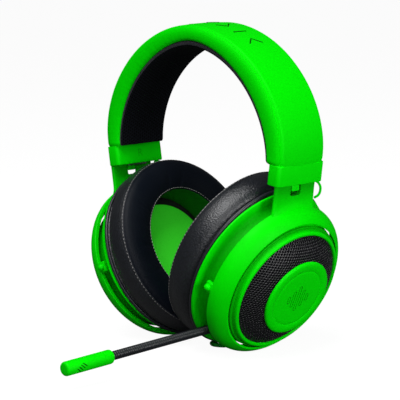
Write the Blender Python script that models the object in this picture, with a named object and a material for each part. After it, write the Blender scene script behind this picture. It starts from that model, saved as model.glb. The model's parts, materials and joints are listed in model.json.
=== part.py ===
"""Over-ear gaming headset with a pull-out microphone boom, as separate named parts.

Lengths in the constants and the shape functions are millimetres, and each piece is scaled to metres
when it is added. +Z is up, -Y is the way the wearer faces and +X is the wearer's left. The headset
stands on its two hoops, on the plane z = 0, with its box centred over the origin.
"""
import math

import bmesh
import bpy
import numpy as np
from mathutils import Matrix, Vector

mm = 0.001
gap = 0.3  # between pieces that touch

# Overall sizes
cup_spread = 44.2  # from the middle plane to each cup's pivot centre
cup_tilt = 24.4  # degrees that the cups lean in at the bottom
slide_travel = 25.0

# Yoke: a closed hoop round the cup, and a neck up to the headband
hoop_radius = 46.8
hoop_wall = 2.6
hoop_near = 2.2  # distance outward from the pivot plane to the hoop's inner edge
hoop_depth = 10.7
hoop_closing = 5.8  # how much smaller the hoop's outer edge is
lug_reach = 2.6  # how far a lug passes the pivot plane
lug_width = 6.4
pin_radius = 1.5
pin_head = 1.9
neck_front = 17.5
neck_rear = 13.0
neck_flare = 6.0
neck_wall = 3.0
neck_drop = 0.6  # below the cap
window_half = 4.3
window_drop = 7.0
tab_drop = 5.4
rail_wall = 1.6
rail_half = 7.0
rail_overlap = 6.0  # rail behind the neck
rail_spare = 2.5  # rail left in the band beyond the slide's travel

# Cup, measured outward from the pivot plane
shell_radius = 42.3
shell_wall = 1.8
shell_top = 11.5
shell_top_radius = 38.6
flange_radius = 48.7
flange_face = -7.2
flange_wall = 1.2
bezel_width = 3.7
bezel_rise = 4.6
badge_radius = 22.9
badge_height = 25.2
badge_wall = 1.9
badge_step = 17.2  # radius of the shallow step on the badge
grille_wall = 0.9

# Driver and other insides
baffle_wall = 1.5
driver_radius = 25.0
driver_depth = 5.0
magnet_radius = 12.0
magnet_depth = 7.0
board_size = (20.0, 14.0, 1.2)
screw_radius = 1.1
screw_head = 2.0
screw_length = 5.0

# Ear cushion: half sizes up and across, and how far in it reaches
cushion_up = 49.9
cushion_across = 46.2
cushion_depth = 21.6
ear_up = 32.5
ear_across = 30.0
screen_wall = 0.8

# Headband arches: half width, height of the centre over the pivots, rise, roundness
outer_arch = (72.0, 75.0, 64.5, 1.9)
inner_arch = (60.7, 70.4, 60.8, 1.8)
pad_arch = (58.3, 67.6, 61.2, 1.7)
band_half = 17.95
cover_skin = 2.2
cover_wall = 2.6
pad_root = 2.4  # pad inside the cover's channel
spring_half = 11.0
spring_wall = 1.2
spring_foot = 92.0

# End caps
cap_out = 65.9
cap_up = 60.1
cap_tilt = 8.7
cap_wall = 9.1
cap_height = 11.6
cap_round = 1.4

# Microphone, measured along the boom from the mouth of its port
boom_radius = 2.4
boom_mouth = (-30.3, -32.7, -3.4)  # in the cup's frame: rear, up, outward
boom_droop = 2.5  # degrees below level
boom_inside = 11.0
bend_side_at = 46.0
bend_up_at = 60.0
boom_length = 73.0
collar_length = 4.3
capsule_radius = 3.95
capsule_length = 33.0
port_wall = 0.6
retract_travel = 34.0

# Cable
cable_radius = 1.3
relief_length = 5.0
relief_radius = 2.1
cable_exit = (-4.5, -4.5)  # rear and outward, in the cup's frame
coil_centre = (-20.0, 71.0)
coil_mean = 14.6
coil_width = 10.8
coil_height = 10.8
plug_radius = 3.1
plug_length = 20.0
plug_rear = (-42.0, 81.5)
plug_heading = 240.0  # degrees from +X
contact_radius = 1.75
contact_length = 14.0
wire_radius = 0.8

fine_turn = 36
plain_turn = 24

flip = Matrix.Scale(-1, 4, (1, 0, 0))


def clear_scene():
    for old in list(bpy.data.objects):
        bpy.data.objects.remove(old)


def make_material(name, colour, roughness, metallic=0.0):
    material = bpy.data.materials.new(name)
    material.use_nodes = True
    shader = material.node_tree.nodes["Principled BSDF"]
    shader.inputs["Base Color"].default_value = (*colour, 1.0)
    shader.inputs["Roughness"].default_value = roughness
    shader.inputs["Metallic"].default_value = metallic
    return material


def make_materials():
    palette = {
        "green_leatherette": ((0.0, 0.62, 0.0), 0.45, 0.0),
        "green_plastic": ((0.0, 0.55, 0.0), 0.35, 0.0),
        "green_fabric": ((0.02, 0.35, 0.01), 0.9, 0.0),
        "black_mesh": ((0.012, 0.013, 0.016), 0.85, 0.0),
        "black_leatherette": ((0.015, 0.017, 0.022), 0.5, 0.0),
        "black_plastic": ((0.02, 0.02, 0.022), 0.5, 0.0),
        "grille_metal": ((0.02, 0.02, 0.022), 0.4, 0.8),
        "boom_rubber": ((0.03, 0.032, 0.036), 0.6, 0.0),
        "steel": ((0.5, 0.5, 0.52), 0.35, 1.0),
        "magnet": ((0.2, 0.2, 0.21), 0.4, 1.0),
        "film": ((0.6, 0.5, 0.3), 0.3, 0.0),
        "board": ((0.02, 0.12, 0.05), 0.5, 0.0),
        "cable_green": ((0.0, 0.3, 0.02), 0.6, 0.0),
        "gold": ((0.8, 0.6, 0.25), 0.25, 1.0),
    }
    return {name: make_material(name, *values) for name, values in palette.items()}


def add_frame(name, parent, matrix, mirrored=False):
    """Adds an empty whose place is given in its parent's frame."""
    empty = bpy.data.objects.new(name, None)
    bpy.context.scene.collection.objects.link(empty)
    empty.parent = parent
    empty.matrix_basis = flip @ matrix @ flip if mirrored else matrix
    return empty


def at(x, y, z):
    return Matrix.Translation(Vector((x, y, z)) * mm)


def turn(degrees, axis):
    return Matrix.Rotation(math.radians(degrees), 4, axis)


def add_piece(name, shape, material, parent, matrix=None, mirrored=False):
    """Makes a shape in millimetres an object in metres, mirrored in its frame's X if asked."""
    matrix = matrix or Matrix()
    bmesh.ops.scale(shape, vec=(mm, mm, mm), verts=shape.verts)
    if mirrored:
        bmesh.ops.scale(shape, vec=(-1, 1, 1), verts=shape.verts)
        bmesh.ops.reverse_faces(shape, faces=shape.faces)
        matrix = flip @ matrix @ flip
    mesh = bpy.data.meshes.new(name)
    shape.to_mesh(mesh)
    shape.free()
    mesh.materials.append(materials[material])
    mesh.shade_smooth()
    mesh.set_sharp_from_angle(angle=math.radians(30))
    piece = bpy.data.objects.new(name, mesh)
    bpy.context.scene.collection.objects.link(piece)
    piece.parent = parent
    piece.matrix_basis = matrix
    return piece


def turned(profile, segments=fine_turn):
    """Turns a (radius, height) outline about Z. It is closed, or starts and ends on the axis."""
    shape = bmesh.new()
    points = [shape.verts.new((radius, 0.0, height)) for radius, height in profile]
    edges = [shape.edges.new(pair) for pair in zip(points, points[1:])]
    if profile[0][0] > 0:
        edges.append(shape.edges.new((points[-1], points[0])))
    bmesh.ops.spin(shape, geom=points + edges, cent=(0, 0, 0), axis=(0, 0, 1), dvec=(0, 0, 0),
                   angle=2 * math.pi, steps=segments, use_merge=True, use_duplicate=False)
    bmesh.ops.remove_doubles(shape, verts=shape.verts, dist=0.0001)
    bmesh.ops.recalc_face_normals(shape, faces=shape.faces)
    return shape


def lofted(sections, closed=False):
    """Skins equal outlines one to the next, with flat ends or, if closed, end to start."""
    shape = bmesh.new()
    rows = [[shape.verts.new(point) for point in outline] for outline in sections]
    following = rows[1:] + rows[:1] if closed else rows[1:]
    for first, second in zip(rows, following):
        for k in range(len(first)):
            shape.faces.new((first[k - 1], first[k], second[k], second[k - 1]))
    if not closed:
        shape.faces.new(rows[0])
        shape.faces.new(rows[-1])
    bmesh.ops.recalc_face_normals(shape, faces=shape.faces)
    return shape


def block(low, high, bevel=0.0):
    """Makes a box between two corners, with its edges rounded in one step."""
    shape = bmesh.new()
    bmesh.ops.create_cube(shape, size=1.0)
    low, high = Vector(low), Vector(high)
    bmesh.ops.scale(shape, vec=high - low, verts=shape.verts)
    bmesh.ops.translate(shape, vec=(low + high) / 2, verts=shape.verts)
    if bevel:
        bmesh.ops.bevel(shape, geom=shape.edges, offset=bevel, segments=2, affect="EDGES", profile=0.5)
    return shape


def moved(shape, matrix):
    bmesh.ops.transform(shape, matrix=matrix, verts=shape.verts)
    return shape


def shifted(x, y, z):
    return Matrix.Translation((x, y, z))


def combined(base, tool, operation):
    """Returns base with tool cut from it or joined to it."""
    pair = []
    for shape in (base, tool):
        mesh = bpy.data.meshes.new("working")
        shape.to_mesh(mesh)
        shape.free()
        working = bpy.data.objects.new("working", mesh)
        bpy.context.scene.collection.objects.link(working)
        pair.append(working)
    modifier = pair[0].modifiers.new("combine", "BOOLEAN")
    modifier.operation = operation
    modifier.object = pair[1]
    modifier.solver = "EXACT"
    result = bmesh.new()
    result.from_object(pair[0], bpy.context.evaluated_depsgraph_get())
    for working in pair:
        mesh = working.data
        bpy.data.objects.remove(working)
        bpy.data.meshes.remove(mesh)
    return result


def smooth_route(points, spacing):
    """Reads evenly spaced points from a Catmull-Rom curve through the route's own points."""
    route = np.array(points, float)
    padded = np.vstack([2 * route[0] - route[1], route, 2 * route[-1] - route[-2]])
    share = np.linspace(0, 1, 40, endpoint=False)[:, None]
    pieces = []
    for a, b, c, d in zip(padded, padded[1:], padded[2:], padded[3:]):
        pieces.append(0.5 * (2 * b + (c - a) * share + (2 * a - 5 * b + 4 * c - d) * share ** 2
                             + (3 * b - a - 3 * c + d) * share ** 3))
    curve = np.vstack(pieces + [route[-1:]])
    along = np.concatenate([[0], np.cumsum(np.linalg.norm(np.diff(curve, axis=0), axis=1))])
    marks = np.linspace(0, along[-1], max(3, round(along[-1] / spacing) + 1))
    return np.stack([np.interp(marks, along, curve[:, axis]) for axis in range(3)], axis=1)


def add_tube(name, points, radius, material, parent, spacing, mirrored=False):
    """Adds a cord as a bevelled curve through points given in millimetres."""
    curve = bpy.data.curves.new(name, "CURVE")
    curve.dimensions = "3D"
    curve.bevel_depth = radius * mm
    curve.bevel_resolution = 2
    curve.use_fill_caps = True
    route = smooth_route(points, spacing) * mm
    if mirrored:
        route = route * (-1, 1, 1)
    spline = curve.splines.new("POLY")
    spline.points.add(len(route) - 1)
    for point, place in zip(spline.points, route):
        point.co = (*place, 1.0)
    curve.materials.append(materials[material])
    tube = bpy.data.objects.new(name, curve)
    bpy.context.scene.collection.objects.link(tube)
    tube.parent = parent
    return tube


# Yoke and hoop ------------------------------------------------------------------------------------

def hoop_outer(depth):
    """Radius of the hoop's outer face at a depth from its inner edge: level, then closing in."""
    share = depth / hoop_depth
    return hoop_radius - hoop_closing * share ** 2.4


def hoop_profile():
    shares = (0.0, 0.25, 0.5, 0.72, 0.88, 1.0)
    outer = [(hoop_outer(hoop_depth * s), hoop_near + hoop_depth * s) for s in shares]
    inner = [(radius - hoop_wall, height) for radius, height in outer[:-1]]
    lip = outer[-1]
    inner.append((lip[0] - 1.1, lip[1] - 0.3))
    return outer + inner[::-1]


tilt = math.radians(cup_tilt)
pivot_height = max(r * math.cos(tilt) + z * math.sin(tilt) for r, z in hoop_profile())
cup_outward = np.array([math.cos(tilt), 0.0, -math.sin(tilt)])
cup_upward = np.array([math.sin(tilt), 0.0, math.cos(tilt)])
cup_centre = np.array([cup_spread, 0.0, 0.0])


def in_head(rear, up, outward):
    """Turns a point of the left cup's frame into the headband's frame."""
    return cup_centre + np.array([0.0, rear, 0.0]) + up * cup_upward + outward * cup_outward


cap_lean = math.radians(cap_tilt)
cap_face = np.array([math.cos(cap_lean), -math.sin(cap_lean)])  # outward, as (x, z)
cap_rise = np.array([math.sin(cap_lean), math.cos(cap_lean)])
cap_foot = np.array([cap_out, cap_up]) - cap_rise * cap_height / 2
neck_outer_x = (cap_foot + cap_face * cap_wall / 2)[0] - 0.8
neck_top = (cap_foot + cap_face * cap_wall / 2)[1] - neck_drop
rail_outer_x = neck_outer_x - neck_wall - gap
pin_reach = hoop_radius + 0.6


def neck_shape():
    """A curved plate from the hoop's top up to the cap, hollowed like a saddle on its outer face."""
    columns, rows = 13, 9
    middle = hoop_depth * 0.45
    sections = []
    for j in range(rows):
        t = j / (rows - 1)
        wide = neck_flare * t ** 3
        outline = []
        for face in (0.0, neck_wall):
            line = []
            for i in range(columns):
                s = i / (columns - 1)
                y = -(neck_front + wide) + s * (neck_front + neck_rear + 2 * wide)
                radius = hoop_outer(middle) - 0.2 - face
                foot = in_head(y, math.sqrt(radius ** 2 - y ** 2), hoop_near + middle)
                x = (1 - t ** 1.7) * (neck_outer_x - face) + t ** 1.7 * foot[0]
                z = (1 - t) * neck_top + t * foot[2]
                line.append((x, y, z))
            outline += line if face == 0.0 else line[::-1]
        sections.append(outline)
    return lofted(sections)


def pin_hole(radius, start, end, side):
    bore = turned([(0, start), (radius, start), (radius, end), (0, end)], 16)
    return moved(bore, turn(-90 * side, "X"))


def lug_shape(side):
    """A block on the hoop's inner edge that holds one pivot pin; side is 1 at the rear, -1 in front."""
    inner = hoop_radius - hoop_wall
    low = min(side * inner, side * hoop_radius)
    high = max(side * inner, side * hoop_radius)
    return block((low, -lug_width / 2, -lug_reach), (high, lug_width / 2, hoop_near + 2.0), 0.5)


def yoke_shape():
    """Hoop, neck and lugs as one moulding, in the headband's frame."""
    hoop = turned(hoop_profile())
    for side in (-1, 1):
        hoop = combined(hoop, lug_shape(side), "UNION")
        bore = turned([(0, 30), (pin_radius + gap, 30), (pin_radius + gap, 60), (0, 60)], 16)
        hoop = combined(hoop, moved(bore, turn(90 * side, "Y")), "DIFFERENCE")
    hoop = moved(hoop, cup_matrix_mm)
    yoke = combined(hoop, neck_shape(), "UNION")
    window = block((neck_outer_x - 9, -window_half, neck_top - window_drop),
                   (neck_outer_x + 9, window_half, neck_top + 5), 0.0)
    return combined(yoke, window, "DIFFERENCE")


def cup_matrix(scale):
    """The cup's frame: X to the rear, Y up the cup, Z outward."""
    columns = [(0.0, 1.0, 0.0), cup_upward, cup_outward]
    matrix = Matrix([[column[row] for column in columns] for row in range(3)]).to_4x4()
    matrix.translation = Vector(cup_centre) * scale
    return matrix


cup_matrix_mm = cup_matrix(1.0)


def pin_shape():
    """A pivot pin along +Z from inside the shell to a round head outside the lug."""
    inner_end = shell_radius - shell_wall - 2.0
    head = [(pin_head * math.sin(a), pin_reach + pin_head * math.cos(a))
            for a in np.radians((115, 90, 60, 30))]
    shank_end = head[0][1] - 0.2
    return turned([(0, inner_end), (pin_radius, inner_end), (pin_radius, shank_end), *head,
                   (0, pin_reach + pin_head)], 12)


def add_yoke(side, parent, mirrored):
    add_piece(f"{side}_yoke", yoke_shape(), "green_plastic", parent, mirrored=mirrored)
    foot = neck_top - rail_overlap
    head = outer_foot + slide_travel + rail_spare
    rail = block((rail_outer_x - rail_wall, -rail_half, foot), (rail_outer_x, rail_half, head), 0.3)
    add_piece(f"{side}_slider_rail", rail, "steel", parent, mirrored=mirrored)
    tab = block((neck_outer_x - neck_wall + 0.3, -window_half + 1.0, neck_top - tab_drop),
                (neck_outer_x - 0.5, window_half - 1.0, neck_top), 0.5)
    add_piece(f"{side}_neck_tab", tab, "green_plastic", parent, mirrored=mirrored)
    for end, direction in (("front", -1), ("rear", 1)):
        pin = moved(pin_shape(), cup_matrix_mm @ turn(90 * direction, "Y"))
        add_piece(f"{side}_pivot_pin_{end}", pin, "green_plastic", parent, mirrored=mirrored)


def add_wire_loop(side, parent, mirrored):
    """The lead that loops out behind the neck, from under the cap to the hoop."""
    start_x = cap_foot[0] + 0.5
    top = neck_top - 0.2
    points = [(start_x, neck_rear + 2.8, top), (start_x + 0.6, neck_rear + 5.2, top - 0.6),
              (start_x + 1.6, neck_rear + 7.8, top - 3.6), (start_x + 2.6, neck_rear + 7.0, top - 7.4),
              (start_x + 3.2, neck_rear + 4.4, top - 9.4)]
    add_tube(f"{side}_wire_loop", points, wire_radius, "green_plastic", parent, 1.8, mirrored)


# Cup ----------------------------------------------------------------------------------------------

flange_back = flange_face - flange_wall
baffle_radius = shell_radius - shell_wall - gap
bezel_outer = shell_top_radius + 0.3
bezel_low = shell_top + gap
bezel_inner = bezel_outer - bezel_width
bezel_top = bezel_low + bezel_rise
grille_outer = bezel_inner - 0.5
grille_foot = bezel_top - 1.4
grille_head = badge_height - badge_wall - gap


def shell_shape():
    bore = shell_radius - shell_wall
    profile = [(flange_radius, flange_back), (flange_radius, flange_face + 0.1),
               (shell_radius + 2.0, flange_face + 0.5), (shell_radius, flange_face + 2.4),
               (shell_radius, 1.0), (shell_radius - 2.1, 8.0), (shell_top_radius, shell_top),
               (shell_top_radius - shell_wall, shell_top), (bore - 2.1, 8.0), (bore, 1.0),
               (bore, flange_back)]
    shell = turned(profile)
    for side in (-1, 1):
        bore_hole = turned([(0, 30), (pin_radius + gap, 30), (pin_radius + gap, 60), (0, 60)], 16)
        shell = combined(shell, moved(bore_hole, turn(90 * side, "Y")), "DIFFERENCE")
    return shell


def bezel_shape():
    return turned([(bezel_outer, bezel_low), (bezel_outer + 0.1, bezel_low + 1.4),
                   (bezel_outer - 1.0, bezel_low + 3.4), (bezel_inner + 1.0, bezel_top),
                   (bezel_inner, bezel_top - 0.2), (bezel_inner, bezel_top - 1.2),
                   (bezel_outer - 2.2, bezel_low)])


def grille_shape():
    """A domed ring from the bezel up to the badge."""
    angles = np.linspace(0, 1, 5)
    span = grille_outer - badge_radius + 1.4
    outer = [(grille_outer - span * s, grille_foot + (grille_head - grille_foot) * math.sin(s * 1.35)
              / math.sin(1.35)) for s in angles]
    inner = [(radius - 0.45, height - grille_wall) for radius, height in outer]
    return turned(outer + inner[::-1])


def badge_shape():
    top = badge_height
    return turned([(0, top - 0.3), (badge_step, top - 0.3), (badge_step + 0.6, top),
                   (badge_radius - 1.2, top - 0.2), (badge_radius, top - 0.9),
                   (badge_radius - 0.6, top - badge_wall), (0, top - badge_wall)])


def cushion_shape():
    """An oval ring pad: a side wall, a rounded front, a flat ear seat and a steep inner wall."""
    back = flange_back - gap
    front = back - cushion_depth
    profile = [(1.0, back), (1.0, back - 9.0), (0.96, front + 8.6), (0.86, front + 3.8),
               (0.66, front + 1.7), (0.42, front), (0.15, front), (0.0, front + 1.8),
               (0.03, front + 10.0), (0.08, back)]
    sections = []
    for angle in np.linspace(0, 2 * math.pi, fine_turn, endpoint=False):
        across, up = math.cos(angle), math.sin(angle)
        outline = []
        for share, height in profile:
            half_across = ear_across + (cushion_across - ear_across) * share
            half_up = ear_up + (cushion_up - ear_up) * share
            outline.append((half_across * across, half_up * up, height))
        sections.append(outline)
    return lofted(sections, closed=True)


def baffle_shape():
    """The plate that closes the shell behind the cushion, with the driver's opening."""
    low, high = flange_back, flange_back + baffle_wall
    opening = driver_radius - 1.5
    plate = turned([(baffle_radius, low), (baffle_radius, high), (opening, high), (opening, low)])
    for x, y in screw_places():
        hole = turned([(0, low - 1), (screw_radius + gap, low - 1), (screw_radius + gap, high + 1),
                       (0, high + 1)], 12)
        plate = combined(plate, moved(hole, shifted(x, y, 0)), "DIFFERENCE")
    return plate


def screw_places():
    radius = (baffle_radius + driver_radius) / 2 + 1.5
    return [(radius * math.cos(a), radius * math.sin(a)) for a in np.radians((35, 145))]


def screw_shape(length):
    """A pan-head screw whose head faces -Z, with the underside of its head at z = 0."""
    return turned([(0, -1.2), (screw_head - 0.4, -1.2), (screw_head, -0.5), (screw_head, 0),
                   (screw_radius, 0), (screw_radius, length), (0, length)], 12)


def add_cup(side, parent, mirrored):
    shell = shell_shape()
    if side == "left":
        shell = cut_left_ports(shell)
    add_piece(f"{side}_cup_shell", shell, "green_plastic", parent, mirrored=mirrored)
    add_piece(f"{side}_bezel", bezel_shape(), "green_plastic", parent, mirrored=mirrored)
    add_piece(f"{side}_grille", grille_shape(), "grille_metal", parent, mirrored=mirrored)
    add_piece(f"{side}_badge", badge_shape(), "green_plastic", parent, mirrored=mirrored)
    add_piece(f"{side}_cushion", cushion_shape(), "black_leatherette", parent, mirrored=mirrored)
    add_piece(f"{side}_baffle", baffle_shape(), "black_plastic", parent, mirrored=mirrored)

    screen_top = flange_back - gap
    screen_edge = ear_across - 0.6
    screen = turned([(0, screen_top - screen_wall), (screen_edge, screen_top - screen_wall),
                     (screen_edge, screen_top), (0, screen_top)], fine_turn)
    add_piece(f"{side}_ear_screen", screen, "green_fabric", parent, mirrored=mirrored)

    seat = flange_back + baffle_wall + gap
    frame = turned([(driver_radius, seat), (driver_radius, seat + driver_depth),
                    (magnet_radius + 3, seat + driver_depth), (magnet_radius + 3, seat + driver_depth - 1),
                    (driver_radius - 2, seat + 1.6), (driver_radius - 2, seat)], plain_turn)
    add_piece(f"{side}_driver_frame", frame, "black_plastic", parent, mirrored=mirrored)
    film_edge = driver_radius - 2 - gap
    film = turned([(0, seat + 1.6), (film_edge * 0.45, seat + 1.1), (film_edge, seat + 0.5),
                   (film_edge, seat + 0.2), (film_edge * 0.45, seat + 0.8), (0, seat + 1.3)], plain_turn)
    add_piece(f"{side}_diaphragm", film, "film", parent, mirrored=mirrored)
    magnet_low = seat + 2.4
    magnet = turned([(0, magnet_low), (magnet_radius, magnet_low),
                     (magnet_radius, magnet_low + magnet_depth), (0, magnet_low + magnet_depth)],
                    plain_turn)
    add_piece(f"{side}_driver_magnet", magnet, "magnet", parent, mirrored=mirrored)

    for label, (x, y) in zip(("rear", "front"), screw_places()):
        screw = moved(screw_shape(screw_length), shifted(x, y, flange_back - gap) @ turn(180, "X")
                      @ shifted(0, 0, -screw_length - baffle_wall))
        add_piece(f"{side}_baffle_screw_{label}", screw, "steel", parent, mirrored=mirrored)


# Microphone and cable inlet -----------------------------------------------------------------------

def boom_matrix_mm():
    """The boom's frame in the cup's frame: +Z runs out along the boom from its port's mouth."""
    droop = math.radians(boom_droop)
    world = Vector((0.0, -math.cos(droop), -math.sin(droop)))
    local = cup_matrix_mm.to_3x3().inverted() @ world
    matrix = local.to_track_quat("Z", "Y").to_matrix().to_4x4()
    matrix.translation = Vector(boom_mouth)
    return matrix


def cable_inlet_mm():
    """The strain relief's frame in the cup's frame: +Z runs out of the cup's lowest side."""
    rear, outward = cable_exit
    return shifted(rear, 0, outward) @ turn(90, "X")


def rod(radius, start, end, segments=12):
    return turned([(0, start), (radius, start), (radius, end), (0, end)], segments)


def cut_left_ports(shell):
    port = rod(boom_radius + gap + port_wall + gap, -boom_inside - 6, 0.0, 16)
    shell = combined(shell, moved(port, boom_matrix_mm()), "DIFFERENCE")
    inlet = rod(relief_radius + gap, shell_radius - 8, shell_radius + 3, 16)
    return combined(shell, moved(inlet, cable_inlet_mm()), "DIFFERENCE")


def round_rod(radius, start, end, round_start=False, round_end=False):
    """A rod along Z whose ends may be half spheres, so that it can bend against its neighbour."""
    quarter = np.radians((0, 30, 60, 90))
    if round_start:
        first = [(radius * math.sin(a), start + radius - radius * math.cos(a)) for a in quarter]
    else:
        first = [(0, start), (radius, start)]
    if round_end:
        last = [(radius * math.cos(a), end - radius + radius * math.sin(a)) for a in quarter]
    else:
        last = [(radius, end), (0, end)]
    profile = [(max(r, 0.0) if r > 0.001 else 0.0, z) for r, z in first + last]
    return turned(profile, 12)


def add_microphone(frames):
    half = gap / 2
    port = turned([(boom_radius + gap, -8.5), (boom_radius + gap + port_wall, -8.5),
                   (boom_radius + gap + port_wall, -1.6), (boom_radius + gap, -1.6)], 16)
    add_piece("mic_port", port, "black_plastic", frames["port"])
    root = round_rod(boom_radius, -boom_inside, bend_side_at - half, round_end=True)
    add_piece("mic_boom_root", root, "boom_rubber", frames["slide"])
    middle = round_rod(boom_radius, half, bend_up_at - bend_side_at - half, True, True)
    add_piece("mic_boom_middle", middle, "boom_rubber", frames["side"])
    reach = boom_length - bend_up_at
    add_piece("mic_boom_tip", round_rod(boom_radius, half, reach, True), "boom_rubber", frames["up"])
    start = reach + gap
    collar = turned([(0, start), (capsule_radius - 0.8, start), (capsule_radius, start + 0.9),
                     (capsule_radius, start + collar_length), (0, start + collar_length)], plain_turn)
    add_piece("mic_collar", collar, "green_plastic", frames["up"])
    start += collar_length + gap
    end = reach + capsule_length
    capsule = turned([(0, start), (capsule_radius, start), (capsule_radius, end - 1.4),
                      (capsule_radius - 0.5, end - 0.4), (capsule_radius - 1.3, end), (0, end)],
                     plain_turn)
    add_piece("mic_capsule", capsule, "green_plastic", frames["up"])


def add_left_cup_extras(parent):
    relief_start = shell_radius - shell_wall - 1.0
    relief = turned([(0, relief_start), (relief_radius, relief_start),
                     (relief_radius, relief_start + 3.0),
                     (cable_radius + 0.3, relief_start + relief_length), (0, relief_start + relief_length)],
                    12)
    add_piece("cable_relief", moved(relief, cable_inlet_mm()), "cable_green", parent)
    length, width, wall = board_size
    low = flange_back + baffle_wall + gap + 2.4 + magnet_depth + 1.0
    board = block((-length / 2, 6.0, low), (length / 2, 6.0 + width, low + wall))
    add_piece("circuit_board", board, "board", parent)


# Headband -----------------------------------------------------------------------------------------

def arch_points(half_width, centre, rise, roundness, foot, count=33):
    """Points (x, z) of a superellipse arch, from the left foot over the top to the right foot."""
    below = ((centre - foot) / rise) ** (roundness / 2)
    angles = np.linspace(-math.asin(below), math.pi + math.asin(below), count)
    cosine, sine = np.cos(angles), np.sin(angles)
    x = half_width * np.sign(cosine) * np.abs(cosine) ** (2 / roundness)
    z = centre + rise * np.sign(sine) * np.abs(sine) ** (2 / roundness)
    return np.stack([x, z], axis=1)


outer_foot = (cap_foot + cap_rise * cap_height + cap_face * cap_wall / 2)[1] + 0.9
inner_foot = (cap_foot + cap_rise * cap_height - cap_face * cap_wall / 2)[1] + 0.9


def band_layers():
    outer = arch_points(*outer_arch, outer_foot)
    inner = arch_points(*inner_arch, inner_foot)
    pad = arch_points(*pad_arch, min(inner_foot + 0.5, pad_arch[1] - 0.01))
    inward = inner - outer
    inward /= np.linalg.norm(inward, axis=1)[:, None]
    return {"outer": outer, "inner": inner, "pad": pad}, inward


def band_shape(outline, lowest=None):
    """Carries an outline of (across, layer, depth) points along the arch."""
    layers, inward = band_layers()
    sections = []
    for i in range(len(inward)):
        if lowest is not None and layers["outer"][i][1] < lowest:
            continue
        section = []
        for across, layer, depth in outline:
            x, z = layers[layer][i] + inward[i] * depth
            section.append((x, across, z))
        sections.append(section)
    return lofted(sections)


def mirrored_outline(half):
    """Completes an outline from its half at +across."""
    return half + [(-across, layer, depth) for across, layer, depth in reversed(half)]


def add_headband(parent):
    wall_inside = band_half - cover_wall
    cover = mirrored_outline([(wall_inside, "outer", cover_skin), (wall_inside, "inner", 0.0),
                              (band_half, "inner", 0.0), (band_half, "outer", 3.4),
                              (band_half - 1.0, "outer", 1.2), (band_half - 3.4, "outer", 0.2),
                              (band_half * 0.4, "outer", -0.3)])
    add_piece("band_cover", band_shape(cover), "green_leatherette", parent)
    root_half = wall_inside - gap
    pad = mirrored_outline([(root_half, "inner", -pad_root), (root_half, "inner", gap + 0.1),
                            (band_half - 0.5, "inner", gap + 0.1), (band_half - 0.5, "inner", 1.2),
                            (band_half - 2.2, "pad", 0.0)])
    add_piece("head_pad", band_shape(pad), "black_mesh", parent)
    low = cover_skin + gap
    spring = mirrored_outline([(spring_half, "outer", low), (spring_half, "outer", low + spring_wall)])
    add_piece("band_spring", band_shape(spring, spring_foot), "steel", parent)


def add_cap(side, parent, mirrored):
    """The end cap, with a straight slot down through it for the slider rail."""
    half = cap_wall / 2
    body = block((-half, -band_half, -cap_height / 2), (half, band_half, cap_height / 2), cap_round)
    body = moved(body, shifted(cap_out, 0, cap_up) @ turn(cap_tilt, "Y"))
    slot = block((rail_outer_x - rail_wall - gap, -rail_half - gap, cap_up - 20),
                 (rail_outer_x + gap, rail_half + gap, cap_up + 20))
    body = combined(body, slot, "DIFFERENCE")
    place = shifted(cap_out - 0.5, -band_half + 4.5, cap_up) @ turn(cap_tilt, "Y")
    foot = -cap_height / 2
    hole = turned([(0, foot - 1), (screw_head + gap, foot - 1), (screw_head + gap, foot + 2.2),
                   (screw_radius + gap, foot + 2.2), (screw_radius + gap, foot + 8), (0, foot + 8)], 12)
    body = combined(body, moved(hole, place), "DIFFERENCE")
    add_piece(f"{side}_cap", body, "green_plastic", parent, mirrored=mirrored)
    screw = moved(screw_shape(screw_length), place @ shifted(0, 0, foot + 2.2 - gap))
    add_piece(f"{side}_cap_screw", screw, "steel", parent, mirrored=mirrored)


# Cable --------------------------------------------------------------------------------------------

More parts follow.
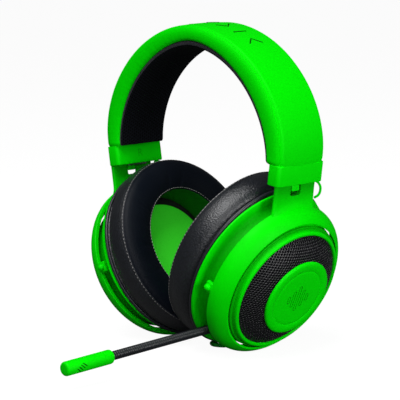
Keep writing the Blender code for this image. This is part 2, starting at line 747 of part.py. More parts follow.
def add_cable(head_frame, floor):
    """The free cable: out of the cup, along the surface, round a coil and to its plug."""
    rear, outward = cable_exit
    relief_end = shell_radius - shell_wall - 1.0 + relief_length
    lying = floor + cable_radius
    leaving = [in_head(rear, -(relief_end + step), outward) for step in (2 * gap, 2.4)]
    run = [tuple(point) for point in leaving] + [
        (19.6, -5.0, lying + 1.5), (17.2, -6.4, lying + 0.15), (14.0, -8.6, lying),
        (10.0, -9.8, lying), (6.6, -8.4, lying), (4.6, -4.4, lying), (3.6, 1.0, lying),
        (3.2, 8.0, lying), (3.0, 18.0, lying), (3.0, 30.0, lying), (3.0, 42.0, lying),
        (2.8, 54.0, lying), (2.2, 62.0, lying), (1.9, 69.0, lying)]
    add_tube("cable_run", run, cable_radius, "cable_green", head_frame, 5.4)

    half_width = coil_width / 2
    profile = [(coil_mean - half_width, 1.8), (coil_mean - half_width + 1.8, 0),
               (coil_mean + half_width - 1.8, 0), (coil_mean + half_width, 1.8),
               (coil_mean + half_width, coil_height - 1.8), (coil_mean + half_width - 1.8, coil_height),
               (coil_mean - half_width + 1.8, coil_height), (coil_mean - half_width, coil_height - 1.8)]
    coil = turned(profile, fine_turn)
    add_piece("cable_coil", coil, "cable_green", head_frame, at(*coil_centre, floor))

    heading = math.radians(plug_heading)
    toward = np.array([math.cos(heading), math.sin(heading), 0.0])
    rear_end = np.array([*plug_rear, floor + plug_radius])
    lead_in = [rear_end - toward * (gap + step) for step in (4.0, 0.0)]
    tail = [(-20.4, 92.7, lying), (-27.2, 92.7, lying), (-33.6, 90.8, lying + 0.5),
            (-37.6, 87.6, lying + 1.3)] + [tuple(point) for point in lead_in]
    add_tube("cable_tail", tail, cable_radius, "cable_green", head_frame, 5.4)

    plug_frame = add_frame("plug_axis", head_frame,
                           at(*rear_end) @ turn(plug_heading, "Z") @ turn(90, "Y"))
    socket = contact_radius + gap
    grip = turned([(0, 0), (cable_radius + 0.5, 0), (plug_radius - 0.6, 5.0), (plug_radius, 7.0),
                   (plug_radius, plug_length - 0.4), (plug_radius - 0.2, plug_length),
                   (socket, plug_length), (socket, plug_length - 2.0), (0, plug_length - 2.0)], 16)
    add_piece("plug_grip", grip, "black_plastic", plug_frame)
    start = plug_length - 2.0 + gap
    end = plug_length + contact_length
    contact = turned([(0, start), (contact_radius, start), (contact_radius, end - 3.4),
                      (contact_radius - 0.6, end - 2.8), (contact_radius - 0.1, end - 1.6),
                      (contact_radius - 1.2, end), (0, end)], 16)
    add_piece("plug_contact", contact, "gold", plug_frame)


# Assembly -----------------------------------------------------------------------------------------

clear_scene()
materials = make_materials()

boom_reach = boom_length + capsule_length
front_reach = -boom_mouth[0] + boom_reach * math.cos(math.radians(boom_droop))
rear_reach = pin_reach + pin_head
headset = add_frame("headset", None, at(0, (front_reach - rear_reach) / 2, pivot_height))

add_headband(headset)
for side, mirrored in (("left", False), ("right", True)):
    add_cap(side, headset, mirrored)
    slide = add_frame(f"{side}_slide_axis", headset, Matrix(), mirrored)
    add_yoke(side, slide, mirrored)
    add_wire_loop(side, slide, mirrored)
    cup = add_frame(f"{side}_cup_axis", slide, cup_matrix(mm), mirrored)
    add_cup(side, cup, mirrored)
    if side == "left":
        add_left_cup_extras(cup)
        boom = boom_matrix_mm()
        boom.translation = boom.translation * mm
        frames = {"port": add_frame("mic_port_axis", cup, boom)}
        frames["slide"] = add_frame("mic_slide_axis", cup, boom)
        frames["side"] = add_frame("mic_side_axis", frames["slide"], at(0, 0, bend_side_at))
        frames["up"] = add_frame("mic_up_axis", frames["side"], at(0, 0, bend_up_at - bend_side_at))
        add_microphone(frames)
add_cable(headset, -pivot_height)
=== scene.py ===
import json
import math

import bmesh
import bpy
import numpy as np
from mathutils import Matrix, Vector


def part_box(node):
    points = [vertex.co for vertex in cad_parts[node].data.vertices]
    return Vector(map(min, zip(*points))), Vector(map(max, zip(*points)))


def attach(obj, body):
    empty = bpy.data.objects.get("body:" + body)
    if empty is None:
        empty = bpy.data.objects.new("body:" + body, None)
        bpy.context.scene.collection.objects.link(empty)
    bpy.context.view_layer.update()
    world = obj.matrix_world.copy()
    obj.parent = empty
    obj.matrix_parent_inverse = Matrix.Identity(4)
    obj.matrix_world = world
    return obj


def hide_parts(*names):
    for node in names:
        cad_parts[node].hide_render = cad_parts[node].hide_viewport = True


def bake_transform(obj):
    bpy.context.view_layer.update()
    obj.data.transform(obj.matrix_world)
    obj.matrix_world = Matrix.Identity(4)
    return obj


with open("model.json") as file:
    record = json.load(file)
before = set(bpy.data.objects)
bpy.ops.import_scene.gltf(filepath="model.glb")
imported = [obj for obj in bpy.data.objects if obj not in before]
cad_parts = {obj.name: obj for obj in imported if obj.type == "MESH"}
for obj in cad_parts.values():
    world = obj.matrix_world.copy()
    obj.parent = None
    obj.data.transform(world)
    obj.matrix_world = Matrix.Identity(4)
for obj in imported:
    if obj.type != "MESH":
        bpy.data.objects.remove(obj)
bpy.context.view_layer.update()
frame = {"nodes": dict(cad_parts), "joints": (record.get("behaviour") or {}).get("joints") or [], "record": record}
scene = bpy.context.scene
mm = 0.001

# Places read from the frame. A cup's own directions are rearward, upward and outward.
joints = {joint["name"]: joint for joint in frame["joints"]}
mounts = {mount["name"]: mount for mount in frame["record"]["mounts"]}
pivot = np.array(joints["left_cup_pivot"]["pos_m"])
outward = -np.array(mounts["left_cushion_face"]["axis"])
outward /= np.linalg.norm(outward)
rearward = np.array([0.0, 1.0, 0.0])
upward = np.cross(outward, rearward)
middle = np.array([0.0, pivot[1], pivot[2]])  # between the two pivots


def forSide(points, side):
    return points if side == "left" else points * (-1, 1, 1)


# A point of a cup: pivot + rear * rearward + up * upward + out * outward, in millimetres
def onCup(points, side):
    points = np.asarray(points, float)
    axes = np.stack([rearward, upward, outward])
    return forSide(pivot + points @ axes * mm, side)


# A point of the headband: x to the side, y to the rear and z up from between the pivots
def onHead(points, side="left"):
    return forSide(middle + np.asarray(points, float) * mm, side)


# Vertices of a mesh as rows of x, y, z
def vertexPoints(mesh):
    flat = np.zeros(len(mesh.vertices) * 3)
    mesh.vertices.foreach_get("co", flat)
    return flat.reshape(-1, 3)


def newObject(name, data):
    piece = bpy.data.objects.new(name, data)
    scene.collection.objects.link(piece)
    return piece


# Says which body a piece moves with and hides the frame node it stands for
def dress(piece, body, node):
    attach(piece, body)
    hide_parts(node)


# Smooth step: s^2 (3 - 2 s), s kept between 0 and 1
def eased(share):
    share = np.clip(share, 0, 1)
    return share * share * (3 - 2 * share)


# How much painted shade darkens a plastic at each vertex, from 0 to 1
def setShade(piece, values):
    piece.data.attributes.new("shade", "FLOAT", "POINT").data.foreach_set("value", values)


# Catmull-Rom curve through control points, read at count even steps of its length
def smoothLine(controls, count, closed=False):
    line = np.array(controls, float)
    if closed:
        padded = np.vstack([line[-1:], line, line[:2]])
    else:
        padded = np.vstack([2 * line[0] - line[1], line, 2 * line[-1] - line[-2]])
    a, b, c, d = padded[:-3, None], padded[1:-2, None], padded[2:-1, None], padded[3:, None]
    t = np.linspace(0, 1, 24, endpoint=False)[None, :, None]
    curve = 0.5 * (2 * b + (c - a) * t + (2 * a - 5 * b + 4 * c - d) * t ** 2
                   + (3 * b - a - 3 * c + d) * t ** 3)
    end = line[:1] if closed else line[-1:]
    curve = np.vstack([curve.reshape(-1, line.shape[1]), end])
    along = np.concatenate([[0], np.cumsum(np.linalg.norm(np.diff(curve, axis=0), axis=1))])
    marks = np.linspace(0, along[-1], count + 1)[:-1] if closed else np.linspace(0, along[-1], count)
    return np.stack([np.interp(marks, along, curve[:, k]) for k in range(line.shape[1])], axis=1)


# Faces (i,j) (i+1,j) (i+1,j+1) (i,j+1) over a grid of points; U and V run in metres along it
def gridPiece(name, points, material, closed=(False, False), capped=False, zones=None):
    rows, columns = points.shape[:2]
    i = np.arange(rows if closed[0] else rows - 1)[:, None]
    j = np.arange(columns if closed[1] else columns - 1)[None]
    corners = [(i, j), (i + 1, j), (i + 1, j + 1), (i, j + 1)]
    quads = np.stack([(a % rows) * columns + b % columns for a, b in corners], -1).reshape(-1, 4)
    wrapped = np.concatenate([points, points[:1]]) if closed[0] else points
    u = np.concatenate([[0], np.cumsum(np.linalg.norm(np.diff(wrapped, axis=0), axis=2).mean(1))])
    wrapped = np.concatenate([points, points[:, :1]], axis=1) if closed[1] else points
    v = np.concatenate([[0], np.cumsum(np.linalg.norm(np.diff(wrapped, axis=1), axis=2).mean(0))])
    coordinates = np.stack([np.stack(np.broadcast_arrays(u[a], v[b]), -1) for a, b in corners], 2)
    faces = quads.tolist()
    if capped:
        faces += [list(range(columns)), list(range((rows - 1) * columns, rows * columns))]
    mesh = bpy.data.meshes.new(name)
    mesh.from_pydata(points.reshape(-1, 3).tolist(), [], faces)
    uvs = np.zeros((len(mesh.loops), 2), np.float32)
    uvs[:len(quads) * 4] = coordinates.reshape(-1, 2)
    mesh.uv_layers.new(name="UVMap").data.foreach_set("uv", uvs.ravel())
    for one in material if isinstance(material, list) else [material]:
        mesh.materials.append(one)
    if zones is not None:
        indices = np.zeros(len(mesh.polygons), np.int32)
        indices[:len(quads)] = np.broadcast_to(zones, (i.size, j.size)).ravel()
        mesh.polygons.foreach_set("material_index", indices)
    mesh.shade_smooth()
    mesh.update()
    piece = newObject(name, mesh)
    settleNormals(piece)
    return piece


# Turns every face outward, keeping the corners' coordinates
def settleNormals(piece):
    shape = bmesh.new()
    shape.from_mesh(piece.data)
    bmesh.ops.recalc_face_normals(shape, faces=shape.faces)
    shape.to_mesh(piece.data)
    shape.free()
    piece.data.set_sharp_from_angle(angle=math.radians(38))


# Many small ringed surfaces in one mesh: points by cell, ring and place round the ring
def cellPiece(name, points, place, material, turned=False):
    cells, rings, sides = points.shape[:3]
    start = (np.arange(cells)[:, None, None] * rings + np.arange(rings - 1)[None, :, None]) * sides
    k = np.arange(sides)[None, None]
    after = (k + 1) % sides
    quads = np.stack([start + k, start + after, start + sides + after, start + sides + k], -1)
    quads = quads.reshape(-1, 4)[:, ::-1 if turned else 1]
    mesh = bpy.data.meshes.new(name)
    mesh.from_pydata(place(points.reshape(-1, 3)).tolist(), [], quads.tolist())
    mesh.materials.append(material)
    mesh.shade_smooth()
    return newObject(name, mesh)


# Profile (radius, height) turned about the outward axis: (r cos a, r sin a, h)
def turnedGrid(profile, count=160):
    profile = np.asarray(profile, float)
    angle = np.linspace(0, 2 * math.pi, count, endpoint=False)[:, None]
    return np.stack([profile[:, 0] * np.cos(angle), profile[:, 0] * np.sin(angle),
                     np.broadcast_to(profile[:, 1], (count, len(profile)))], -1)


# Round tube of one radius along a path of straight steps
def makeTube(name, points, radius, material, closed=False, detail=3):
    curve = bpy.data.curves.new(name, "CURVE")
    curve.dimensions = "3D"
    curve.bevel_depth = radius
    curve.bevel_resolution = detail
    curve.use_fill_caps = True
    spline = curve.splines.new("POLY")
    spline.points.add(len(points) - 1)
    spline.points.foreach_set("co", np.hstack([points, np.ones((len(points), 1))]).ravel())
    spline.use_cyclic_u = closed
    spline.use_smooth = True
    curve.materials.append(material)
    return newObject(name, curve)


# Replaces a piece's mesh by it combined with others, which are then removed
def combine(piece, others, operation):
    for other in others:
        modifier = piece.modifiers.new("combine", "BOOLEAN")
        modifier.operation = operation
        modifier.solver = "EXACT"
        modifier.object = other
    shown = piece.evaluated_get(bpy.context.evaluated_depsgraph_get())
    mesh = bpy.data.meshes.new_from_object(shown)
    piece.modifiers.clear()
    piece.data = mesh
    mesh.shade_smooth()
    mesh.set_sharp_from_angle(angle=math.radians(34))
    for other in others:
        bpy.data.objects.remove(other)
    return piece


# Rounded box: |x/a|, |y/b| follow a rounded rectangle, drawn in at both ends of z
def roundedBox(name, size, cornerRadius, edge, material, place):
    a, b, c = np.array(size) / 2
    turn = np.linspace(0, math.pi / 2, 9)
    corner = np.stack([np.cos(turn), np.sin(turn)], 1) * cornerRadius
    quarter = [(1, 1), (-1, 1), (-1, -1), (1, -1)]
    outline = []
    for k, (sx, sy) in enumerate(quarter):
        arc = corner if k % 2 == 0 else corner[::-1]
        outline.append((arc + (a - cornerRadius, b - cornerRadius)) * (sx, sy))
    outline = np.vstack(outline)
    rise = np.radians([0, 22, 45, 67, 90])
    inset = edge * (1 - np.sin(rise))
    height = c - edge + edge * np.cos(rise)
    inset = np.concatenate([inset, inset[::-1]])
    height = np.concatenate([-height, height[::-1]])
    reach = np.maximum(np.abs(outline), 1e-9)
    drawn = outline * np.clip((reach - inset[:, None, None]) / reach, 0.0, 1.0)
    rows = np.concatenate([drawn, np.broadcast_to(height[:, None, None], (*drawn.shape[:2], 1))], -1)
    return gridPiece(name, place(rows), material, closed=(False, True), capped=True)


# Camera
cameraValues = {"place": (798.7, -770.5, 204.7), "azimuth": 46.4, "elevation": 8.52, "roll": -0.81,
                "lens": 175.7}  # the place in millimetres from between the pivots


# Camera turned by azimuth, then elevation, then roll
def makeCamera():
    data = bpy.data.cameras.new("camera")
    data.lens = cameraValues["lens"]
    data.sensor_width = 36.0
    data.clip_start = 0.01
    camera = newObject("camera", data)
    camera.location = onHead(cameraValues["place"])
    turns = ((cameraValues["azimuth"], "Z"), (90 - cameraValues["elevation"], "X"),
             (cameraValues["roll"], "Z"))
    first, second, third = (Matrix.Rotation(math.radians(angle), 3, axis) for angle, axis in turns)
    camera.rotation_euler = (first @ second @ third).to_euler()
    scene.camera = camera


makeCamera()
print("camera")

# Materials


def newMaterial(name, colour, roughness, metallic=0.0, specular=0.3):
    material = bpy.data.materials.new(name)
    material.use_nodes = True
    shader = material.node_tree.nodes["Principled BSDF"]
    shader.inputs["Base Color"].default_value = (*colour, 1.0)
    shader.inputs["Roughness"].default_value = roughness
    shader.inputs["Metallic"].default_value = metallic
    shader.inputs["Specular IOR Level"].default_value = specular
    return material


def addNode(material, kind, inputs=None, **settings):
    node = material.node_tree.nodes.new(kind)
    for key, value in settings.items():
        setattr(node, key, value)
    for key, value in (inputs or {}).items():
        if isinstance(value, bpy.types.NodeSocket):
            material.node_tree.links.new(value, node.inputs[key])
        else:
            node.inputs[key].default_value = value
    return node


def shaderInput(material, name, socket):
    material.node_tree.links.new(socket, material.node_tree.nodes["Principled BSDF"].inputs[name])


# Bumps: each (height socket, depth in metres) raises the surface after the one before
def addBumps(material, layers):
    normal = None
    for height, depth in layers:
        inputs = {"Height": height, "Distance": depth, "Strength": 1.0}
        if normal is not None:
            inputs["Normal"] = normal
        normal = addNode(material, "ShaderNodeBump", inputs).outputs["Normal"]
    shaderInput(material, "Normal", normal)


def objectPoints(material):
    return addNode(material, "ShaderNodeTexCoord").outputs["Object"]


def noise(material, scale, detail=3.0, roughness=0.55, vector=None):
    return addNode(material, "ShaderNodeTexNoise",
                   {"Vector": vector or objectPoints(material), "Scale": scale, "Detail": detail,
                    "Roughness": roughness}).outputs["Fac"]


# Mixes two colours by a socket read between low and high
def mixBetween(material, factor, low, high, first, second):
    ramp = addNode(material, "ShaderNodeMapRange",
                   {"Value": factor, "From Min": low, "From Max": high}).outputs["Result"]
    mixer = addNode(material, "ShaderNodeMix", {"Factor": ramp}, data_type="RGBA")
    mixer.inputs[6].default_value = (*first, 1.0)
    mixer.inputs[7].default_value = (*second, 1.0)
    return mixer.outputs[2]


def valueBetween(material, factor, low, high, first, second):
    return addNode(material, "ShaderNodeMapRange",
                   {"Value": factor, "From Min": low, "From Max": high, "To Min": first,
                    "To Max": second}).outputs["Result"]


# Satin moulded plastic: a very fine spark texture, faint handling marks in the gloss, and painted shade
# that darkens the colour where a piece has a shade attribute
def plasticMaterial(name, colour, darker, roughness=0.5, specular=0.06, grain=0.00001):
    material = newMaterial(name, colour, roughness, specular=specular)
    broad = noise(material, 60.0)
    plain = mixBetween(material, broad, 0.35, 0.65, darker, colour)
    # Painted shade: the colour goes towards a quarter of itself as the shade attribute rises
    shade = addNode(material, "ShaderNodeAttribute", attribute_name="shade").outputs["Fac"]
    mixer = addNode(material, "ShaderNodeMix", {"Factor": shade}, data_type="RGBA")
    material.node_tree.links.new(plain, mixer.inputs[6])
    mixer.inputs[7].default_value = (*(0.25 * channel for channel in colour), 1.0)
    shaderInput(material, "Base Color", mixer.outputs[2])
    handled = noise(material, 220.0)
    shaderInput(material, "Roughness",
                valueBetween(material, handled, 0.3, 0.7, roughness - 0.05, roughness + 0.07))
    addBumps(material, [(noise(material, 5200.0, 2.0), grain)])
    return material


# Leatherette: rounded cells of a Voronoi pattern, with finer and broader noise over them
def leatherMaterial(name, colour, darker, cell, depth, roughness, specular):
    material = newMaterial(name, colour, roughness, specular=specular)
    points = objectPoints(material)
    cells = addNode(material, "ShaderNodeTexVoronoi",
                    {"Vector": points, "Scale": 1 / cell, "Smoothness": 0.6},
                    feature="SMOOTH_F1").outputs["Distance"]
    fine = noise(material, 1.6 / cell, 4.0)
    broad = noise(material, 45.0, 2.0)
    shaderInput(material, "Base Color", mixBetween(material, cells, 0.15, 0.75, colour, darker))
    shaderInput(material, "Roughness",
                valueBetween(material, broad, 0.3, 0.7, roughness - 0.06, roughness + 0.08))
    raised = addNode(material, "ShaderNodeMath", {0: cells, 1: -1.0}, operation="MULTIPLY").outputs[0]
    addBumps(material, [(broad, depth * 1.5), (raised, depth), (fine, depth * 0.5)])
    return material


# Spacer mesh: round holes on a triangular lattice, distance to the nearest of two square lattices
def meshMaterial(name, thread, hole, pitch, depth, roughness=0.85):
    material = newMaterial(name, thread, roughness, specular=0.08)
    coordinates = addNode(material, "ShaderNodeTexCoord").outputs["UV"]
    nearest = []
    for shift in (0.0, 0.5):
        scaled = addNode(material, "ShaderNodeMapping", {"Vector": coordinates})
        scaled.inputs["Scale"].default_value = (1 / pitch, 1 / (pitch * math.sqrt(3)), 1.0)
        scaled.inputs["Location"].default_value = (shift, shift, 0.0)
        part = addNode(material, "ShaderNodeVectorMath", {0: scaled.outputs[0]}, operation="FRACTION")
        centred = addNode(material, "ShaderNodeVectorMath", {0: part.outputs[0]}, operation="SUBTRACT")
        centred.inputs[1].default_value = (0.5, 0.5, 0.0)
        stretched = addNode(material, "ShaderNodeVectorMath", {0: centred.outputs[0]},
                            operation="MULTIPLY")
        stretched.inputs[1].default_value = (1.0, math.sqrt(3), 0.0)
        nearest.append(addNode(material, "ShaderNodeVectorMath", {0: stretched.outputs[0]},
                               operation="LENGTH").outputs["Value"])
    distance = addNode(material, "ShaderNodeMath", {0: nearest[0], 1: nearest[1]},
                       operation="MINIMUM").outputs[0]
    shaderInput(material, "Base Color", mixBetween(material, distance, 0.24, 0.36, hole, thread))
    height = valueBetween(material, distance, 0.2, 0.42, 0.0, 1.0)
    addBumps(material, [(height, depth), (noise(material, 2600.0), depth * 0.4)])
    return material


# Knitted cloth: two crossing waves along y and z multiplied, with fibre noise
def clothMaterial(name, colour, darker, pitch, depth):
    material = newMaterial(name, colour, 0.95, specular=0.1)
    waves = [addNode(material, "ShaderNodeTexWave",
                     {"Vector": objectPoints(material), "Scale": 0.32 / pitch, "Distortion": 1.5,
                      "Detail": 2.0}, bands_direction=axis).outputs["Fac"] for axis in ("Y", "Z")]
    weave = addNode(material, "ShaderNodeMath", {0: waves[0], 1: waves[1]},
                    operation="MULTIPLY").outputs[0]
    fuzz = noise(material, 1500.0, 4.0)
    shaderInput(material, "Base Color", mixBetween(material, fuzz, 0.3, 0.7, darker, colour))
    addBumps(material, [(weave, depth), (fuzz, depth)])
    return material


green = plasticMaterial("green_plastic", (0.0, 0.74, 0.0), (0.0, 0.70, 0.0))
greenLeather = leatherMaterial("green_leatherette", (0.0, 0.74, 0.0), (0.0, 0.66, 0.0), 0.0006,
                               0.00003, 0.6, 0.05)
blackLeather = leatherMaterial("black_leatherette", (0.006, 0.008, 0.013), (0.002, 0.003, 0.005),
                               0.0009, 0.00017, 0.4, 0.7)
smoothLeather = leatherMaterial("smooth_leatherette", (0.0025, 0.0045, 0.009), (0.0015, 0.003, 0.006),
                                0.0005, 0.00003, 0.5, 0.12)
pipingLeather = leatherMaterial("piping_leatherette", (0.016, 0.018, 0.024), (0.008, 0.009, 0.013),
                                0.0006, 0.00004, 0.4, 0.5)
padMesh = meshMaterial("black_mesh", (0.005, 0.006, 0.009), (0.0002, 0.0002, 0.0003), 0.0019, 0.0003)
padEdge = clothMaterial("pad_edge", (0.05, 0.05, 0.06), (0.015, 0.015, 0.018), 0.0006, 0.00005)
earWall = clothMaterial("ear_wall_fabric", (0.006, 0.16, 0.006), (0.004, 0.11, 0.004), 0.0006, 0.00005)
earCloth = clothMaterial("ear_screen_fabric", (0.06, 0.95, 0.035), (0.045, 0.8, 0.025), 0.0005, 0.00004)
# Painted light: a faint green glow makes the ear screen look brightly lit
earCloth.node_tree.nodes["Principled BSDF"].inputs["Emission Color"].default_value = (0.05, 0.9, 0.03, 1.0)
earCloth.node_tree.nodes["Principled BSDF"].inputs["Emission Strength"].default_value = 0.14
thread = newMaterial("thread", (0.34, 0.33, 0.32), 0.7, specular=0.1)
metalBlack = newMaterial("grille_black", (0.006, 0.006, 0.008), 0.34, specular=0.5)
# Painted shade for the inside seen through the grille's holes
voidBlack = newMaterial("grille_shade_backing", (0.004, 0.004, 0.005), 0.9, specular=0.1)
darkPlastic = plasticMaterial("dark_plastic", (0.02, 0.02, 0.022), (0.015, 0.015, 0.017), specular=0.3)
boomRubber = plasticMaterial("boom_rubber", (0.006, 0.007, 0.010), (0.003, 0.004, 0.006), 0.34, 0.45)
markBlack = newMaterial("mark_black", (0.001, 0.004, 0.001), 0.7, specular=0.05)
markGreen = newMaterial("mark_green", (0.0, 0.12, 0.0), 0.6, specular=0.05)
letterGreen = newMaterial("letter_green", (0.0, 0.42, 0.0), 0.6, specular=0.05)
cableGreen = plasticMaterial("cable_green", (0.0, 0.36, 0.02), (0.0, 0.3, 0.015), 0.6, 0.2)
steel = newMaterial("steel", (0.55, 0.55, 0.57), 0.32, metallic=1.0)
gold = newMaterial("gold", (0.83, 0.62, 0.27), 0.25, metallic=1.0)
boardGreen = newMaterial("board_green", (0.02, 0.14, 0.05), 0.45)
print("materials")

# Headband
bandValues = {
    "outer": (72.0, 75.0, 64.5, 1.9), "inner": (60.7, 70.4, 60.8, 1.8),
    "pad": (59.0, 68.0, 59.4, 1.85), "feet": (65.0, 66.45, 66.8), "stations": 221,
    "sectionPoints": 84, "padPoints": 60, "pucker": 0.35, "marks": (-36.0, -24.0, -12.0, 0.0, 12.0),
    "markSink": 0.52, "markRadius": 0.36,
    "cover": [(15.0, 0.7, 0.0), (15.0, 1.0, -0.4), (15.5, 1.0, 0.1), (16.6, 1.0, 0.3), (17.5, 0.97, 0.1),
              (18.1, 0.88, 0.0), (18.45, 0.72, 0.0), (18.55, 0.5, 0.0), (18.4, 0.34, 0.0),
              (18.05, 0.2, 0.0), (17.5, 0.12, 0.0), (16.95, 0.09, 0.5), (16.5, 0.06, 0.8),
              (16.1, 0.03, 0.15), (15.3, 0.005, -0.1), (13.0, 0.0, -0.2), (9.0, 0.0, -0.4),
              (4.5, 0.0, -0.55), (0.0, 0.0, -0.6)],
    "padding": [(14.6, 0.82, 0.0), (14.6, 0.98, 0.0), (15.2, 1.0, 0.35), (16.1, 1.0, 0.45),
                (16.8, 1.12, 0.2), (17.0, 1.35, 0.0), (16.8, 1.7, 0.0), (16.1, 1.95, 0.0),
                (15.0, 2.02, 0.0), (10.0, 2.06, 0.0), (5.0, 2.09, 0.0), (0.0, 2.1, 0.0)],
}


# Superellipse arch: x = a sgn(cos t)|cos t|^(2/n), z = c + b sgn(sin t)|sin t|^(2/n)
def archLine(halfWidth, centre, rise, roundness, foot, count):
    below = math.asin(((centre - foot) / rise) ** (roundness / 2))
    t = np.linspace(-below, math.pi + below, count)
    power = 2 / roundness
    x = halfWidth * np.sign(np.cos(t)) * np.abs(np.cos(t)) ** power
    z = centre + rise * np.sign(np.sin(t)) * np.abs(np.sin(t)) ** power
    return np.stack([x, z], 1)


# Carries a section of (across, layer, depth) along the arch, layer 0 outer, 1 inner, 2 pad,
# and draws the last of it in about its middle, where the cover tucks into a cap
def bandGrid(half, count):
    section = half + [(-a, w, d) for a, w, d in half[-2::-1]]
    section = smoothLine(section, count)
    lines = [archLine(*bandValues[key], foot, bandValues["stations"])
             for key, foot in zip(("outer", "inner", "pad"), bandValues["feet"])]
    inward = lines[1] - lines[0]
    inward /= np.linalg.norm(inward, axis=1)[:, None]
    across, layer, depth = section.T
    first = np.clip(layer, 0, 1)[None, :, None]
    second = np.clip(layer - 1, 0, None)[None, :, None]
    place = (lines[0][:, None] + (lines[1] - lines[0])[:, None] * first
             + (lines[2] - lines[1])[:, None] * second + inward[:, None] * depth[None, :, None])
    y = np.broadcast_to(across[None], place.shape[:2])
    grid = np.stack([place[..., 0], y, place[..., 1]], -1)
    core = grid.mean(axis=1, keepdims=True)
    steps = np.arange(len(grid))
    tuck = 0.04 * np.exp(-np.minimum(steps, steps[::-1]) ** 2.0)[:, None, None]
    return core + (grid - core) * (1 - tuck), section


# Cover and pad: two sections along the arch, the cover puckered by sines where its edge is sewn
def makeHeadband():
    grid, section = bandGrid(bandValues["cover"], bandValues["sectionPoints"])
    station = np.linspace(0, 1, len(grid))[:, None]
    side = np.exp(-((section[:, 1] - 0.93) / 0.07) ** 2) * (np.abs(section[:, 0]) > 16)
    rng = np.random.default_rng(4)
    phase = rng.uniform(0, 6.28, 6)
    waves = sum(np.sin(2 * math.pi * station * k + phase[n])
                for n, k in enumerate((31, 47, 59, 71, 83, 97))) / 6
    puckers = bandValues["pucker"] * waves * side[None] * np.sin(math.pi * station) ** 0.5
    grid[..., 1] += puckers * np.sign(section[:, 0])[None]
    cover = gridPiece("bandCover", onHead(grid), greenLeather, closed=(False, True), capped=True)
    dress(cover, "headband", "band_cover")
    grid, section = bandGrid(bandValues["padding"], bandValues["padPoints"])
    edge = (section[:, 1] > 0.9) & (section[:, 1] < 1.8) & (np.abs(section[:, 0]) > 15.5)
    pad = gridPiece("headPad", onHead(grid), [padMesh, padEdge], closed=(False, True), capped=True,
                    zones=edge.astype(np.int32))
    dress(pad, "headband", "head_pad")


# Generic marks on top: bars and chevrons drawn on the outer arch, half sunk in the cover
def makeBandMarks():
    line = archLine(*bandValues["outer"], bandValues["feet"][0], 1201)
    along = np.concatenate([[0], np.cumsum(np.linalg.norm(np.diff(line, axis=0), axis=1))])
    slope = np.gradient(line, axis=0)
    normal = np.stack([slope[:, 1], -slope[:, 0]], 1)
    normal /= np.linalg.norm(normal, axis=1)[:, None]
    shapes = [[(-2.2, -5.0), (2.6, 0.0), (-2.2, 5.0)], [(0.0, -5.0), (0.0, 5.0)],
              [(2.2, -5.0), (-2.6, 0.0), (2.2, 5.0)]]
    for n, place in enumerate(bandValues["marks"]):
        path = np.array(shapes[n % 3])
        path = np.stack([np.interp(np.linspace(0, 1, 33), np.linspace(0, 1, len(path)), path[:, k])
                         for k in range(2)], 1)
        s = along[-1] / 2 + place + path[:, 0]
        x, z = (np.interp(s, along, line[:, k] + normal[:, k] * bandValues["markSink"]) for k in range(2))
        mark = makeTube(f"bandMark{n + 1}", onHead(np.stack([x, path[:, 1], z], 1)),
                        bandValues["markRadius"] * mm, markBlack, detail=1)
        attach(mark, "headband")


makeHeadband()
makeBandMarks()
print("headband")

# End caps
capValues = {"centre": (65.9, 60.1), "tilt": 8.7, "size": (9.1, 35.9, 11.6), "corner": 2.2,
             "edge": 0.5, "letter": 7.0, "relief": 0.03, "slimmer": 0.16, "railRoom": 0.6}


# Cap frame: outward (cos t, -sin t) and rise (sin t, cos t) in the band's plane
def onCap(points, side):
    t = math.radians(capValues["tilt"])
    points = np.asarray(points, float)
    x = capValues["centre"][0] + points[..., 0] * math.cos(t) + points[..., 2] * math.sin(t)
    z = capValues["centre"][1] - points[..., 0] * math.sin(t) + points[..., 2] * math.cos(t)
    return onHead(np.stack([x, points[..., 1], z], -1), side)


# Side letter: flat text laid on the cap's inner face, a hair proud of it
def makeLetter(side):
    text = bpy.data.curves.new(f"{side}Letter", "FONT")
    text.body = "L" if side == "left" else "R"
    text.size = capValues["letter"]
    text.extrude = capValues["relief"]
    text.offset = -capValues["slimmer"]
    text.align_x = "CENTER"
    text.align_y = "CENTER"
    holder = newObject("letterHolder", text)
    shown = holder.evaluated_get(bpy.context.evaluated_depsgraph_get())
    mesh = bpy.data.meshes.new_from_object(shown)
    bpy.data.objects.remove(holder)
    flat = vertexPoints(mesh)
    face = -capValues["size"][0] / 2
    points = np.stack([face - flat[:, 2], -flat[:, 0], flat[:, 1]], -1)
    if side == "right":
        points[:, 1] *= -1
    mesh.vertices.foreach_set("co", onCap(points, side).ravel())
    mesh.materials.clear()
    mesh.materials.append(letterGreen)
    mesh.update()
    letter = newObject(f"{side}SideLetter", mesh)
    settleNormals(letter)
    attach(letter, "headband")


for side in ("left", "right"):
    cap = roundedBox(f"{side}Cap", capValues["size"], capValues["corner"], capValues["edge"], green,
                     lambda points: onCap(points, side))
    railLow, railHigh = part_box(f"{side}_slider_rail")
    railSize = np.array(railHigh - railLow) / mm
    railCentre = (np.array(railLow + railHigh) / 2 - middle) / mm
    cutter = roundedBox("slotCutter", railSize + capValues["railRoom"], 0.2, 0.1, green,
                        lambda points: onHead(points + railCentre))
    combine(cap, [cutter], "DIFFERENCE")
    # The rail starts a little above the neck's tab
    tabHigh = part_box(f"{side}_neck_tab")[1]
    railSize[2] = (railHigh[2] - tabHigh[2]) / mm - 0.4
    railCentre[2] = (railHigh[2] + tabHigh[2] - 2 * middle[2]) / mm / 2 + 0.2
    rail = roundedBox(f"{side}SliderRail", railSize, 0.3, 0.25, steel,
                      lambda points: onHead(points + railCentre))
    dress(rail, f"{side}_yoke", f"{side}_slider_rail")
    dress(cap, "headband", f"{side}_cap")
    makeLetter(side)
print("caps")

